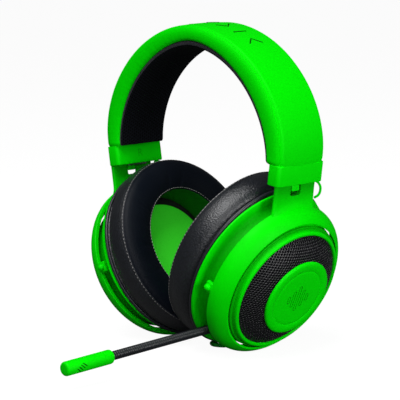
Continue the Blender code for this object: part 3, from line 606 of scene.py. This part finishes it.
# Yokes
yokeValues = {
    "radius": 46.9, "inner": 2.1, "depth": 10.8, "closing": 5.9, "wall": 2.5,
    "front": 17.6, "rear": 13.2, "plate": 2.6, "fillet": 4.0, "flareFront": 2.0, "flareRear": 6.5,
    "lean": 0.16, "window": (4.0, 6.2), "tab": (2.9, 3.7), "centre": -2.4, "lug": (3.2, 5.6),
    "shade": 0.65, "shadeDrop": 13.0, "underCap": 0.9, "wire": 0.72, "pin": 2.0,
}


# Hoop radius at a depth: R - closing * (depth / full)^2.4
def hoopRadius(out):
    share = np.clip((out - yokeValues["inner"]) / yokeValues["depth"], 0, 1)
    return yokeValues["radius"] - yokeValues["closing"] * share ** 2.4


# Hoop section (radius, out): outer face, lip, inner face one wall inside it, and the foot
def hoopProfile():
    v = yokeValues
    out = np.linspace(v["inner"] + 0.35, v["inner"] + v["depth"] - 0.3, 22)
    outer = np.stack([hoopRadius(out), out], 1)
    lip = np.array([[outer[-1, 0] - 0.35, out[-1] + 0.28], [outer[-1, 0] - 0.9, out[-1] + 0.2]])
    wall = v["wall"] * (1 - 0.5 * ((out - out[0]) / v["depth"]) ** 3)
    inner = np.stack([hoopRadius(out) - wall, out], 1)[::-1]
    start = np.array([[inner[-1, 0] + 0.3, v["inner"] + 0.05], [outer[0, 0] - 0.35, v["inner"] + 0.02]])
    return np.vstack([outer, lip, inner, start])


# A point of the hoop's outer face at a distance y to the rear, as (x, z) in the band's plane
def hoopPoint(y, out):
    radius = hoopRadius(out)
    up = np.sqrt(np.maximum(radius ** 2 - y ** 2, 1.0))
    base = (pivot - middle) / mm
    return np.stack([base[0] + up * upward[0] + out * outward[0],
                     base[2] + up * upward[2] + out * outward[2]], -1)


# Neck: a plate down from the cap that meets the hoop's face in a curve, P0 P1 P2 of a Bezier
def neckGrid(top, plateX):
    v = yokeValues
    columns, rows = 61, 56
    across = np.linspace(0, 1, columns)
    outs = np.linspace(v["inner"], v["inner"] + v["depth"] - 0.5, 200)
    t = np.linspace(0, 1, rows)
    grid = np.zeros((rows, columns * 2, 3))
    for layer in (0, 1):
        low = t[:, None] ** 3
        y = -(v["front"] + v["flareFront"] * low) + across[None] * (
            v["front"] + v["rear"] + (v["flareFront"] + v["flareRear"]) * low)
        edgeRound = 0.9 * (1 - np.sqrt(np.clip(1 - (2 * across - 1) ** 24, 0, 1)))
        lines = hoopPoint(y[-1][:, None], outs[None])
        hit = np.argmin(np.abs(lines[..., 0] - plateX + v["lean"] * (top - lines[..., 1])), axis=1)
        each = np.arange(columns)
        meet = lines[each, hit][None]
        tail = lines[each, np.minimum(hit + 75, len(outs) - 1)][None]
        start = np.stack([np.full(columns, plateX), np.full(columns, top)], -1)[None]
        bend = meet + (0, 0.2)
        above = meet + (v["lean"] * v["fillet"], v["fillet"])
        share = np.clip(t / 0.45, 0, 1)[:, None, None]
        straight = start * (1 - share) + above * share
        s = np.clip((t - 0.45) / 0.55, 0, 1)[:, None, None]
        curved = (1 - s) ** 2 * above + 2 * s * (1 - s) * bend + s ** 2 * tail
        place = np.where((t < 0.45)[:, None, None], straight, curved)
        inset = (v["plate"] if layer else 0.0) + (-edgeRound if layer else edgeRound)[None]
        deep = 0.35 * s[..., 0] ** 2
        line = np.stack([place[..., 0] - inset - deep * 0.8, y,
                         place[..., 1] - deep - (inset * 0.15) * s[..., 0]], -1)
        if layer:
            grid[:, columns:] = line[:, ::-1]
        else:
            grid[:, :columns] = line
    return grid


# Hoop turned about the cup, joined with the neck and two lugs and cut by the window; then the
# tab, the two ball-ended pins and the wire loop
def makeYoke(side):
    v = yokeValues
    hoop = gridPiece(f"{side}Yoke", onCup(turnedGrid(hoopProfile(), 240), side), green,
                     closed=(True, True))
    tabLow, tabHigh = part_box(f"{side}_neck_tab")
    top = (tabHigh[2] - middle[2]) / mm + v["underCap"]
    plateX = max(abs(tabLow[0]), abs(tabHigh[0])) / mm + 0.5
    parts = [gridPiece("neck", onHead(neckGrid(top, plateX), side), green, closed=(False, True),
                       capped=True)]
    for direction in (-1, 1):
        half, reach = v["lug"]
        centre = np.array([direction * (v["radius"] - 1.35), 0.0, 0.4])
        parts.append(roundedBox("lug", (2.5, half * 2, reach), 0.9, 0.5, green,
                                lambda points: onCup(points + centre, side)))
    combine(hoop, parts, "UNION")
    half, drop = v["window"]
    size = (30.0, half * 2, drop + 6.0)  # the cutter reaches 6 mm above the neck
    centre = (plateX, v["centre"], top - drop + size[2] / 2)
    cutter = roundedBox("windowCutter", size, 0.05, 1.4, green,
                        lambda points: onHead(points + centre, side))
    combine(hoop, [cutter], "DIFFERENCE")
    # Shade under the cap: a smooth step of the height, from the neck's foot to its top
    height = (vertexPoints(hoop.data)[:, 2] - middle[2]) / mm
    setShade(hoop, v["shade"] * eased((height - top + v["shadeDrop"]) / v["shadeDrop"]))
    dress(hoop, f"{side}_yoke", f"{side}_yoke")
    half, drop = v["tab"]
    centre = (plateX - 1.35, v["centre"], top - drop / 2)
    tab = roundedBox(f"{side}NeckTab", (2.2, half * 2, drop), 0.7, 0.5, green,
                     lambda points: onHead(points + centre, side))
    dress(tab, f"{side}_yoke", f"{side}_neck_tab")
    for name, direction in (("front", -1), ("rear", 1)):
        low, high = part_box(f"{side}_pivot_pin_{name}")
        reach = max(abs(low[1] - pivot[1]), abs(high[1] - pivot[1])) / mm
        r = v["pin"]
        a = np.linspace(0, math.pi * 0.62, 20)
        profile = np.vstack([np.stack([r * np.sin(a), reach - r + r * np.cos(a)], 1),
                             [(1.4, reach - 4.2), (1.4, reach - 9.0), (0.0, reach - 9.0)]])
        ring = turnedGrid(profile, 32)
        points = np.stack([direction * ring[..., 2], ring[..., 0], ring[..., 1]], -1)
        ball = gridPiece(f"{side}PivotPin{name.title()}", onCup(points, side), green,
                         closed=(True, False))
        dress(ball, f"{side}_yoke", f"{side}_pivot_pin_{name}")
    foot = plateX - 4.6
    path = smoothLine([(foot - 0.4, 13.6, top - 0.1), (foot, 17.2, top - 0.3),
                       (foot + 0.4, 19.7, top - 1.6), (foot + 1.0, 20.8, top - 4.0),
                       (foot + 1.6, 19.9, top - 6.6), (foot + 2.2, 17.6, top - 8.4),
                       (foot + 2.6, 14.4, top - 9.2)], 48)
    loop = makeTube(f"{side}WireLoop", onHead(path, side), v["wire"] * mm, green)
    dress(loop, f"{side}_yoke", f"{side}_wire_loop")


for side in ("left", "right"):
    makeYoke(side)
print("yokes")

# Cups
cupValues = {
    "shell": [(48.3, -8.4), (48.9, -8.15), (48.95, -7.7), (48.4, -7.2), (46.6, -6.95), (44.0, -6.5),
              (41.9, -5.0), (40.7, -2.0), (40.5, 0.6), (40.4, 3.2), (40.3, 6.2), (40.0, 8.8),
              (39.4, 11.0), (38.9, 11.5), (37.6, 11.4), (38.2, 9.0), (38.6, 4.0), (38.8, -3.0),
              (40.4, -8.4)],
    "bezel": [(38.9, 11.9), (39.1, 12.4), (38.9, 13.0), (38.4, 13.2), (37.9, 13.1), (37.6, 13.3),
              (37.5, 14.0), (37.3, 15.4), (36.8, 16.2), (36.1, 16.5), (35.5, 16.35), (35.15, 15.8),
              (35.1, 15.0), (36.5, 12.6), (37.8, 11.9)],
    "badge": [(0.0, 24.95), (8.0, 24.95), (15.4, 24.9), (16.7, 24.85), (17.0, 24.72), (17.3, 24.6),
              (17.6, 24.75), (18.0, 24.98), (19.6, 25.1), (21.4, 25.0), (22.4, 24.6), (22.85, 23.9),
              (22.8, 23.2), (22.0, 23.05), (0.0, 23.05)],
    "steps": 200, "badgeSteps": 160, "shellShade": 0.5, "bezelShade": 0.55,
    "bars": (1.4, 4.2, 7.0, 4.2, 1.4), "barEnd": 0.85, "barPitch": 3.5, "barHeight": 24.93,
    "barLine": 0.15,
}
grilleValues = {"outer": 35.6, "inner": 21.6, "low": 14.9, "high": 23.0, "pitch": 1.55, "hole": 0.73,
                "wire": 0.3, "wall": 0.8, "backing": 0.95, "backingWall": 0.5}


# Dome of the grille: low + rise * sin(1.35 s) / sin(1.35), s from the rim to the badge
def grilleHeight(radius):
    g = grilleValues
    share = np.clip((g["outer"] - radius) / (g["outer"] - g["inner"]), -0.1, 1.1)
    return g["low"] + (g["high"] - g["low"]) * np.sin(1.35 * share) / math.sin(1.35)


# Perforated sheet: a hexagon per hole, its rim drawn to the hole and sunk by a quarter round
def makeGrille(side):
    g = grilleValues
    count = int(g["outer"] / g["pitch"]) + 2
    i, j = np.meshgrid(np.arange(-count * 2, count * 2 + 1), np.arange(-count * 2, count * 2 + 1))
    x = (i + 0.5 * (j % 2)) * g["pitch"]
    y = j * g["pitch"] * math.sqrt(3) / 2
    radius = np.hypot(x, y)
    keep = (radius < g["outer"] + 0.2) & (radius > g["inner"] - 0.2)
    centres = np.stack([x[keep], y[keep]], 1)
    angle = np.radians(np.arange(12) * 30.0)
    sixth = math.radians(30)  # half the turn between two corners of a hexagon
    hexagon = (g["pitch"] / 2) / np.cos((angle + sixth) % (2 * sixth) - sixth)
    inner = np.full(12, g["pitch"] / 2 * g["hole"])
    turn = np.radians([0, 30, 60, 90])
    reach = hexagon[None] + (inner - hexagon)[None] * np.sin(turn)[:, None]
    sink = g["wire"] * (1 - np.cos(turn))
    reach = np.vstack([reach, inner[None]])
    sink = np.append(sink, g["wall"])
    around = np.stack([np.cos(angle), np.sin(angle)], -1)
    flat = centres[:, None, None] + reach[None, ..., None] * around[None, None]
    height = grilleHeight(np.hypot(flat[..., 0], flat[..., 1])) - sink[None, :, None]
    points = np.concatenate([flat, height[..., None]], -1)
    grille = cellPiece(f"{side}Grille", points, lambda places: onCup(places, side), metalBlack,
                       turned=side == "right")
    weld = grille.modifiers.new("weld", "WELD")
    weld.merge_threshold = 0.02 * mm
    dress(grille, f"{side}_cup", f"{side}_grille")
    # Painted shade: a matte black sheet under the grille makes its holes read dark
    line = np.linspace(g["outer"], g["inner"], 16)
    top = np.stack([line, grilleHeight(line) - g["backing"]], 1)
    sheet = turnedGrid(np.vstack([top, top[::-1] - (0, g["backingWall"])]), 96)
    backing = gridPiece(f"{side}GrilleShadeBacking", onCup(sheet, side), voidBlack, closed=(True, True))
    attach(backing, f"{side}_cup")


# A generic mark of five sound bars: stadium outlines |x| <= w, |y| <= h + round ends
def makeBadgeMark(side):
    c = cupValues
    a = np.linspace(0, 2 * math.pi, 48, endpoint=False)
    for n, half in enumerate(c["bars"]):
        x = (n - 2) * c["barPitch"] + c["barEnd"] * np.cos(a)
        y = c["barEnd"] * np.sin(a) + half * np.sign(np.sin(a) + 1e-9)
        path = np.stack([x, y, np.full(len(a), c["barHeight"])], -1)
        mark = makeTube(f"{side}BadgeMark{n + 1}", onCup(path, side), c["barLine"] * mm, markGreen,
                        closed=True, detail=1)
        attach(mark, f"{side}_cup")


for side in ("left", "right"):
    for key, node in (("shell", "cup_shell"), ("bezel", "bezel")):
        profile = smoothLine(cupValues[key], 90, closed=True)
        points = onCup(turnedGrid(profile, cupValues["steps"]), side)
        piece = gridPiece(f"{side}{key.title()}", points, green, closed=(True, True))
        dress(piece, f"{side}_cup", f"{side}_{node}")
        # Painted shade in the gap under the hoop and round the bezel: smooth steps of the profile's radius
        r, h = profile.T
        if key == "shell":
            shade = np.clip((48.0 - r) / 3.6, 0, 1) * np.clip((11.9 - h) / 1.6, 0, 1)
        else:
            shade = np.clip((r - 36.9) / 0.8, 0, 1)
        setShade(piece, np.tile(eased(cupValues[f"{key}Shade"] * shade), cupValues["steps"]))
    points = onCup(turnedGrid(cupValues["badge"], cupValues["badgeSteps"]), side)
    badge = gridPiece(f"{side}Badge", points, green, closed=(True, False))
    dress(badge, f"{side}_cup", f"{side}_badge")
    makeGrille(side)
    makeBadgeMark(side)
print("cups")

# Ear cushions
cushionValues = {
    "back": -8.7, "outer": (47.3, 49.4), "ear": (30.0, 32.5), "rows": 360, "columns": 150,
    "profile": [(0.12, 0.0), (0.5, 0.0), (0.88, 0.0), (0.96, 0.3), (0.985, 1.2), (0.98, 2.4),
                (0.93, 3.1), (0.96, 3.7), (1.04, 5.0), (1.11, 7.0), (1.15, 9.6), (1.165, 12.6),
                (1.15, 15.8), (1.11, 18.2), (1.075, 19.1), (1.05, 19.7), (0.98, 20.9), (0.84, 22.0),
                (0.64, 22.7), (0.44, 22.7), (0.26, 22.2), (0.12, 21.5), (0.02, 20.9), (-0.01, 19.6),
                (0.0, 15.0), (0.03, 9.0), (0.07, 3.0)],
    "seam": (1.085, 19.0), "pipe": (1.01, 1.5), "gather": 0.2, "wrinkle": 0.5, "stitches": 112,
    "seamStitches": 150, "between": 0.7,
}


# Oval ring: (ear + (outer - ear) s) (cos a, sin a), back - d, for the profile's (s, d)
def cushionPoint(share, depth, angle):
    c = cushionValues
    rear = (c["ear"][0] + (c["outer"][0] - c["ear"][0]) * share) * np.cos(angle)
    up = (c["ear"][1] + (c["outer"][1] - c["ear"][1]) * share) * np.sin(angle)
    return np.stack(np.broadcast_arrays(rear, up, c["back"] - depth), -1)


# The two cushions press flat where they meet: x -> between + 0.5 (d + sqrt(d^2 + 1)), d = x - between
def onCushion(points, side):
    placed = onCup(points, "left") / mm
    away = placed[..., 0] - cushionValues["between"]
    placed[..., 0] = cushionValues["between"] + 0.5 * (away + np.sqrt(away ** 2 + 1.0))
    return forSide(placed * mm, side)


# Small threads laid along an oval: ellipsoids of half length a and radius r
def makeStitches(name, side, share, depth, count, halfLength, radius):
    angle = (np.arange(count) / count * 2 * math.pi)[:, None, None]
    along = np.linspace(0, math.pi, 6)[None, :, None]
    around = np.linspace(0, 2 * math.pi, 6, endpoint=False)[None, None]
    centre = cushionPoint(share, depth, angle)
    ahead = cushionPoint(share, depth, angle + 0.001) - centre
    ahead /= np.linalg.norm(ahead, axis=-1)[..., None]
    outer = np.array([0.0, 0.0, -1.0])
    across = np.cross(ahead, outer)
    points = (centre + ahead * (halfLength * np.cos(along))[..., None]
              + across * (radius * np.sin(along) * np.cos(around))[..., None]
              + outer * (radius * np.sin(along) * np.sin(around))[..., None])
    piece = cellPiece(name, points, lambda places: onCushion(places, side), thread)
    settleNormals(piece)
    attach(piece, f"{side}_cup")


# Cushion: the profile round the oval, gathered by sines at its seams and folded by bell curves
def makeCushion(side, seed):
    c = cushionValues
    profile = smoothLine(c["profile"], c["columns"], closed=True)
    share, depth = profile.T
    angle = np.linspace(0, 2 * math.pi, c["rows"], endpoint=False)[:, None]
    rng = np.random.default_rng(seed)
    phases = rng.uniform(0, 2 * math.pi, 8)
    counts = rng.integers(70, 150, 8)
    waves = sum(np.sin(k * angle + p) for k, p in zip(counts, phases)) / 4
    gathers = c["gather"] * waves * np.exp(-((depth - 3.9) / 1.3) ** 2) * (share > 0.8)
    seam = 0.5 * c["gather"] * waves * np.exp(-((depth - 19.2) / 1.6) ** 2) * (share > 0.7)
    wrinkles = np.zeros((c["rows"], len(depth)))
    for place, width, size in zip(rng.uniform(0, 2 * math.pi, 15), rng.uniform(0.02, 0.05, 15),
                                  rng.uniform(0.4, 1.0, 15)):
        away = np.angle(np.exp(1j * (angle - place + 0.12 * (share - 0.3))))
        wrinkles += size * np.exp(-(away / width) ** 2)
    face = np.exp(-((share - 0.34) / 0.26) ** 2) * (depth > 17)
    folds = c["wrinkle"] * wrinkles * face
    points = cushionPoint(share, depth - folds, angle)
    around = np.stack([np.cos(angle), np.sin(angle), 0 * angle], -1)
    points = points + (gathers + seam)[..., None] * around
    zones = np.where((depth > 19.1) | (share < 0.1), 1, 0)  # smooth leatherette towards the ear
    zones = np.where((share < 0.1) & (depth < 20.6), 2, zones)[None].astype(np.int32)
    cushion = gridPiece(f"{side}Cushion", onCushion(points, side), [blackLeather, smoothLeather, earWall],
                        closed=(True, True), zones=zones)
    dress(cushion, f"{side}_cup", f"{side}_cushion")
    ring = np.linspace(0, 2 * math.pi, 240, endpoint=False)
    for name, key, radius in (("BackPiping", "pipe", 1.1), ("SeamPiping", "seam", 0.4)):
        piping = makeTube(f"{side}{name}", onCushion(cushionPoint(*c[key], ring), side), radius * mm,
                          pipingLeather, closed=True)
        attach(piping, f"{side}_cup")
    makeStitches(f"{side}SeamStitches", side, c["seam"][0] + 0.022, c["seam"][1] - 0.1,
                 c["seamStitches"], 0.62, 0.17)
    makeStitches(f"{side}EarStitches", side, 0.045, 21.25, c["stitches"], 0.55, 0.2)


# Ear screen: a disc whose face sinks by 0.7 (1 - r^2) in the middle
def makeEarScreen(side):
    low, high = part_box(f"{side}_ear_screen")
    radius = (high[1] - low[1]) / 2 / mm
    r = np.linspace(0, 1, 24)
    top = cushionValues["back"] - 0.75
    upper = np.stack([radius * r, top - 0.7 * (1 - r ** 2)], 1)
    lower = np.array([(radius, top + 0.6), (0.0, top + 0.6)])
    points = onCup(turnedGrid(np.vstack([upper, lower]), 96), side)
    screen = gridPiece(f"{side}EarScreen", points, earCloth, closed=(True, False))
    dress(screen, f"{side}_cup", f"{side}_ear_screen")


for seed, side in ((11, "left"), (5, "right")):
    makeCushion(side, seed)
    makeEarScreen(side)
print("cushions")

# Microphone
micValues = {"radius": 2.35, "ridge": 0.17, "ridgePitch": 1.5, "capsule": 3.95, "longerCollar": 2.2,
             "slots": 4, "slotStart": 7.4, "slotPitch": 1.4, "slotAngle": 202, "slotTurn": 11}
boomAxis = -np.array(joints["mic_retract"]["axis"])
boomAxis /= np.linalg.norm(boomAxis)
bendSide = np.array(joints["mic_bend_side"]["pos_m"])
bendUp = np.array(joints["mic_bend_up"]["pos_m"])
boomRight = np.cross(boomAxis, (0.0, 0.0, 1.0))
boomRight /= np.linalg.norm(boomRight)
boomUp = np.cross(boomRight, boomAxis)


# A point by the boom: along its axis from the side bend, then round it
def onBoom(along, radius, angle):
    along, radius, angle = np.broadcast_arrays(along, radius, angle)
    return (bendSide + along[..., None] * mm * boomAxis
            + (radius * np.cos(angle))[..., None] * mm * boomRight
            + (radius * np.sin(angle))[..., None] * mm * boomUp)


# Ribbed tube: r + ridge * |sin(pi s / pitch)|^0.7 along s
def boomPart(name, start, end):
    m = micValues
    along = np.linspace(start, end, int((end - start) / 0.11))[:, None]
    radius = m["radius"] + m["ridge"] * (np.abs(np.sin(math.pi * along / m["ridgePitch"])) ** 0.7 * 2 - 1)
    angle = np.linspace(0, 2 * math.pi, 40, endpoint=False)[None]
    return gridPiece(name, onBoom(along, radius, angle), boomRubber, closed=(False, True), capped=True)


# Places of a frame node's vertices along the boom
def alongBoom(node):
    return (vertexPoints(frame["nodes"][node].data) - bendSide) @ boomAxis / mm


# Profile (radius, along) turned about the boom
def spun(name, profile, material, count=64):
    profile = np.asarray(profile, float)
    angle = np.linspace(0, 2 * math.pi, count, endpoint=False)[:, None]
    return gridPiece(name, onBoom(profile[:, 1][None], profile[:, 0][None], angle), material,
                     closed=(True, False))


# Boom in three lengths, collar and capsule turned about it, and slanted slots in the capsule
def makeMicrophone():
    m = micValues
    gapBetween = np.linalg.norm(bendUp - bendSide) / mm
    rootStart = (np.array(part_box("mic_boom_root")[1]) - bendSide) @ boomAxis / mm
    collarStart, tip = alongBoom("mic_collar").min(), alongBoom("mic_capsule").max()
    part = alongBoom("mic_collar").max() + m["longerCollar"]
    root = boomPart("boomRoot", rootStart + 0.3, -8.0)
    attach(root, "boom_root")
    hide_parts("mic_boom_root")
    first = boomPart("boomSideBend", -8.0, gapBetween / 2)
    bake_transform(first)
    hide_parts("mic_boom_middle")
    second = boomPart("boomUpBend", gapBetween / 2, collarStart + 0.6)
    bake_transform(second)
    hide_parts("mic_boom_tip")
    r = m["capsule"]
    collar = spun("micCollar", [(0, collarStart), (r - 1.3, collarStart), (r - 0.55, collarStart + 0.2),
                                (r - 0.15, collarStart + 0.7), (r, collarStart + 1.4),
                                (r, part - 0.12), (r - 0.12, part), (0, part)], green)
    capsule = spun("micCapsule", [(0, part + 0.12), (r - 0.12, part + 0.12), (r, part + 0.25),
                                  (r, tip - 1.5), (r - 0.12, tip - 0.9), (r - 0.5, tip - 0.35),
                                  (r - 1.0, tip - 0.08), (r - 1.6, tip), (0, tip)], green)
    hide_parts("mic_collar")
    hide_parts("mic_capsule")
    for piece in (collar, capsule):
        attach(piece, "boom_tip")
    u = np.linspace(-1, 1, 16)[:, None]
    w = np.linspace(-1, 1, 5)[None]
    width = 0.42 * np.sqrt(np.clip(1.02 - u ** 2 * 0.9, 0, 1))
    for n in range(m["slots"]):
        along = tip - m["slotStart"] - n * m["slotPitch"] + w * width + u * 1.3
        angle = math.radians(m["slotAngle"] - m["slotTurn"] * n) - u * 0.3 + 0 * w
        inner = onBoom(along, r - 0.4, angle)
        outer = onBoom(along, r + 0.06, angle)
        slab = np.concatenate([outer, inner[:, ::-1]], axis=1)
        mark = gridPiece(f"micSlot{n + 1}", slab, markBlack, closed=(False, True), capped=True)
        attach(mark, "boom_tip")


makeMicrophone()
print("microphone")

# Cable
cableValues = {"radius": 1.3, "length": 1.2, "layers": 4, "turns": 3, "pitch": 2.72, "inner": 10.5,
               "startAngle": -20.0, "exit": (44.9, -4.5)}


# Coil: the radius runs in and out by one pitch a turn, each layer one pitch above the last
def coilPath(centre, floor):
    c = cableValues
    total = c["layers"] * c["turns"]
    turn = np.linspace(0, total, total * 40)
    layer = np.minimum((turn // c["turns"]).astype(int), c["layers"] - 1)
    part = turn - layer * c["turns"]
    inward = c["turns"] - part
    radius = c["inner"] + c["pitch"] * np.where(layer % 2 == 0, inward, part)
    rise = np.zeros_like(turn)
    for k in range(1, c["layers"]):
        rise += eased((turn - k * c["turns"]) / 0.22 + 0.5)
    angle = math.radians(c["startAngle"]) + turn * 2 * math.pi
    z = floor + c["radius"] + rise * c["pitch"]
    return np.stack([centre[0] + radius * np.cos(angle), centre[1] + radius * np.sin(angle), z], -1)


# Cable: from the relief down and back to the coil, round it, and on to the plug
def makeCable():
    c = cableValues
    coilLow, coilHigh = (np.array(v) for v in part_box("cable_coil"))
    centre = ((coilLow + coilHigh) / 2 - middle) / mm
    floor = (coilLow[2] - middle[2]) / mm
    lying = floor + c["radius"] + 0.02
    reliefLow, reliefHigh = (np.array(v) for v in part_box("cable_relief"))
    rear = ((reliefLow[1] + reliefHigh[1]) / 2 - pivot[1]) / mm
    exitUp, exitOut = c["exit"]
    leave = onCup([(rear, -exitUp, exitOut), (rear, -exitUp - 1.8, exitOut)], "left")
    leave = (leave - middle) / mm
    coil = coilPath(centre, floor)
    run = [leave[0], leave[1], (19.4, rear - 0.5, lying + 1.7), (17.2, rear - 1.9, lying + 0.2),
           (14.0, rear - 4.1, lying), (10.0, rear - 5.3, lying), (6.6, rear - 3.9, lying),
           (4.6, -4.3, lying), (3.6, 1.0, lying), (3.2, 8.0, lying), (3.0, 18.0, lying),
           (3.0, 30.0, lying), (3.0, 40.0, lying), (2.6, 48.0, lying), (1.4, 54.0, lying),
           (-0.4, 59.0, lying)]
    run = smoothLine(run + [coil[0], coil[12]], 60)
    toCoil = np.argmin(np.linalg.norm(run - coil[0], axis=1))
    flat = (vertexPoints(frame["nodes"]["plug_grip"].data) - middle) / mm
    heading = np.array(mounts["plug_shoulder"]["axis"])
    along = flat @ heading
    rearEnd = flat[along < along.min() + 0.01].mean(0)
    last = coil[-1]
    ahead = coil[-1] - coil[-2]
    ahead /= np.linalg.norm(ahead)
    tail = [last, last + ahead * 8 + (0, 0.4, -0.3), (-15.5, 92.6, lying + 6.4), (-22.0, 94.4, lying + 3.4),
            (-29.4, 93.4, lying + 1.6), (-35.6, 89.8, rearEnd[2]), rearEnd - heading * 5.0,
            rearEnd - heading * 0.25]
    tail = smoothLine(tail, 26)
    path = np.vstack([run[:toCoil], coil, tail[1:]])
    cable = makeTube("cable", onHead(path), c["radius"] * mm, cableGreen, detail=4)
    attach(cable, "left_cup")
    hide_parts("cable_run", "cable_coil", "cable_tail")
    up = np.array([0.0, 0.0, 1.0])
    right = np.cross(heading, up)

    # Plug parts are profiles (radius, distance) turned about the plug's heading
    def onPlug(profile, count=48):
        profile = np.asarray(profile, float)
        a = np.linspace(0, 2 * math.pi, count, endpoint=False)[:, None]
        r, s = profile[:, 0][None], profile[:, 1][None]
        return onHead(rearEnd + s[..., None] * heading + (r * np.cos(a))[..., None] * right
                      + (r * np.sin(a))[..., None] * up)

    s = np.linspace(2.0, 9.0, 64)
    ribs = np.stack([2.0 + (s - 2.0) * 0.12 + 0.18 * np.cos(2 * math.pi * (s - 2.0) / 1.4), s], 1)
    handle = np.vstack([[(0, 0), (1.75, 0), (1.9, 0.3)], ribs,
                        [(3.0, 9.8), (3.1, 10.6), (3.1, 19.5), (2.8, 19.95), (0, 19.95)]])
    grip = gridPiece("plugGrip", onPlug(handle), darkPlastic, closed=(True, False))
    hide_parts("plug_grip")
    metal = [(0, 18.3), (1.75, 18.3), (1.75, 30.6), (1.2, 31.2), (1.65, 32.4), (1.45, 33.2), (0.5, 34.0),
             (0, 34.0)]
    contact = gridPiece("plugContact", onPlug(metal), gold, closed=(True, False))
    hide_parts("plug_contact")
    rings = []
    for n, place in enumerate((22.6, 25.6, 28.6)):
        band = [(1.6, place), (1.78, place), (1.78, place + 0.5), (1.6, place + 0.5)]
        rings.append(gridPiece(f"plugBand{n + 1}", onPlug(band), darkPlastic, closed=(True, True)))
    for piece in [grip, contact] + rings:
        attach(piece, "left_cup")
    a = np.linspace(0, 2 * math.pi, 40, endpoint=False)[:, None]
    s = np.linspace(39.6, 44.4, 40)
    taper = 2.1 - 0.45 * np.clip((s - 42.4) / 2.0, 0, 1) + 0.1 * np.cos(2 * math.pi * s / 1.2)
    profile = np.vstack([[(0, 39.5), (2.0, 39.5)], np.stack([taper, s], 1), [(1.3, 44.6), (0, 44.6)]])
    r, d = profile[:, 0][None], profile[:, 1][None]
    sleeve = np.stack([rear + r * np.cos(a), -d + 0 * a, exitOut + r * np.sin(a)], -1)
    relief = gridPiece("cableRelief", onCup(sleeve, "left"), cableGreen, closed=(True, False))
    dress(relief, "left_cup", "cable_relief")
    print("cable drawn, in metres:", round(np.linalg.norm(np.diff(path, axis=0), axis=1).sum() * mm, 3))


makeCable()
print("cable")

# Insides keep their frame shapes and take their finishes here
insideLooks = {"steel": ("band_spring", "slider_rail", "screw"), "board": ("circuit_board",),
               "dark": ("baffle", "driver_frame", "mic_port"), "film": ("diaphragm",), "magnet": ("magnet",)}
looks = {"steel": steel, "board": boardGreen, "dark": darkPlastic,
         "film": newMaterial("film", (0.6, 0.5, 0.3), 0.3),
         "magnet": newMaterial("magnet", (0.3, 0.3, 0.31), 0.4, 1.0)}
for name, node in frame["nodes"].items():
    for key, words in insideLooks.items():
        if any(word in name for word in words) and not node.hide_render:
            node.data.materials.clear()
            node.data.materials.append(looks[key])
print("insides")

# Floor and light
# Each light: place and side in metres, and power
lightValues = {"world": 0.085, "floor": 0.95, "floorHalf": 8.0, "target": (0.0, 0.0, 0.09),
               "key": ((0.15, -0.5, 1.15), 0.8, 14.0), "front": ((0.75, -0.65, 0.42), 0.7, 3.0),
               "side": ((1.15, 0.0, 0.2), 0.5, 8.0)}


# Square area light facing the target
def makeLight(key):
    place, size, power = lightValues[key]
    data = bpy.data.lights.new(f"{key}Light", "AREA")
    data.shape = "RECTANGLE"
    data.size, data.size_y = size, size
    data.energy = power
    light = newObject(f"{key}Light", data)
    light.location = place
    away = Vector(place) - Vector(lightValues["target"])
    light.rotation_euler = away.to_track_quat("Z", "Y").to_euler()


# Floor and world glow for the camera only, so that they stay pale and throw no light back
def makeStage():
    floorMaterial = newMaterial("floor", (0.12, 0.12, 0.12), 0.9, specular=0.02)
    seen = addNode(floorMaterial, "ShaderNodeLightPath").outputs["Is Camera Ray"]
    glow = valueBetween(floorMaterial, seen, 0.0, 1.0, 0.0, lightValues["floor"])
    shaderInput(floorMaterial, "Emission Strength", glow)
    floorShader = floorMaterial.node_tree.nodes["Principled BSDF"]
    floorShader.inputs["Emission Color"].default_value = (1.0, 1.0, 1.0, 1.0)
    half, z = lightValues["floorHalf"], -0.2 * mm
    mesh = bpy.data.meshes.new("floor")
    mesh.from_pydata([(-half, -half, z), (half, -half, z), (half, half, z), (-half, half, z)], [],
                     [(0, 1, 2, 3)])
    mesh.materials.append(floorMaterial)
    newObject("floor", mesh)
    world = bpy.data.worlds.new("studio")
    world.use_nodes = True
    world.node_tree.nodes["Background"].inputs["Color"].default_value = (1.0, 1.0, 1.0, 1.0)
    tree = world.node_tree
    seen = tree.nodes.new("ShaderNodeLightPath").outputs["Is Camera Ray"]
    strength = tree.nodes.new("ShaderNodeMapRange")
    strength.inputs["To Min"].default_value = lightValues["world"]
    strength.inputs["To Max"].default_value = 1.0
    tree.links.new(seen, strength.inputs["Value"])
    tree.links.new(strength.outputs["Result"], tree.nodes["Background"].inputs["Strength"])
    scene.world = world
    for key in ("key", "front", "side"):
        makeLight(key)
    scene.view_settings.view_transform = "Standard"
    scene.view_settings.look = "None"


makeStage()
print("stage")
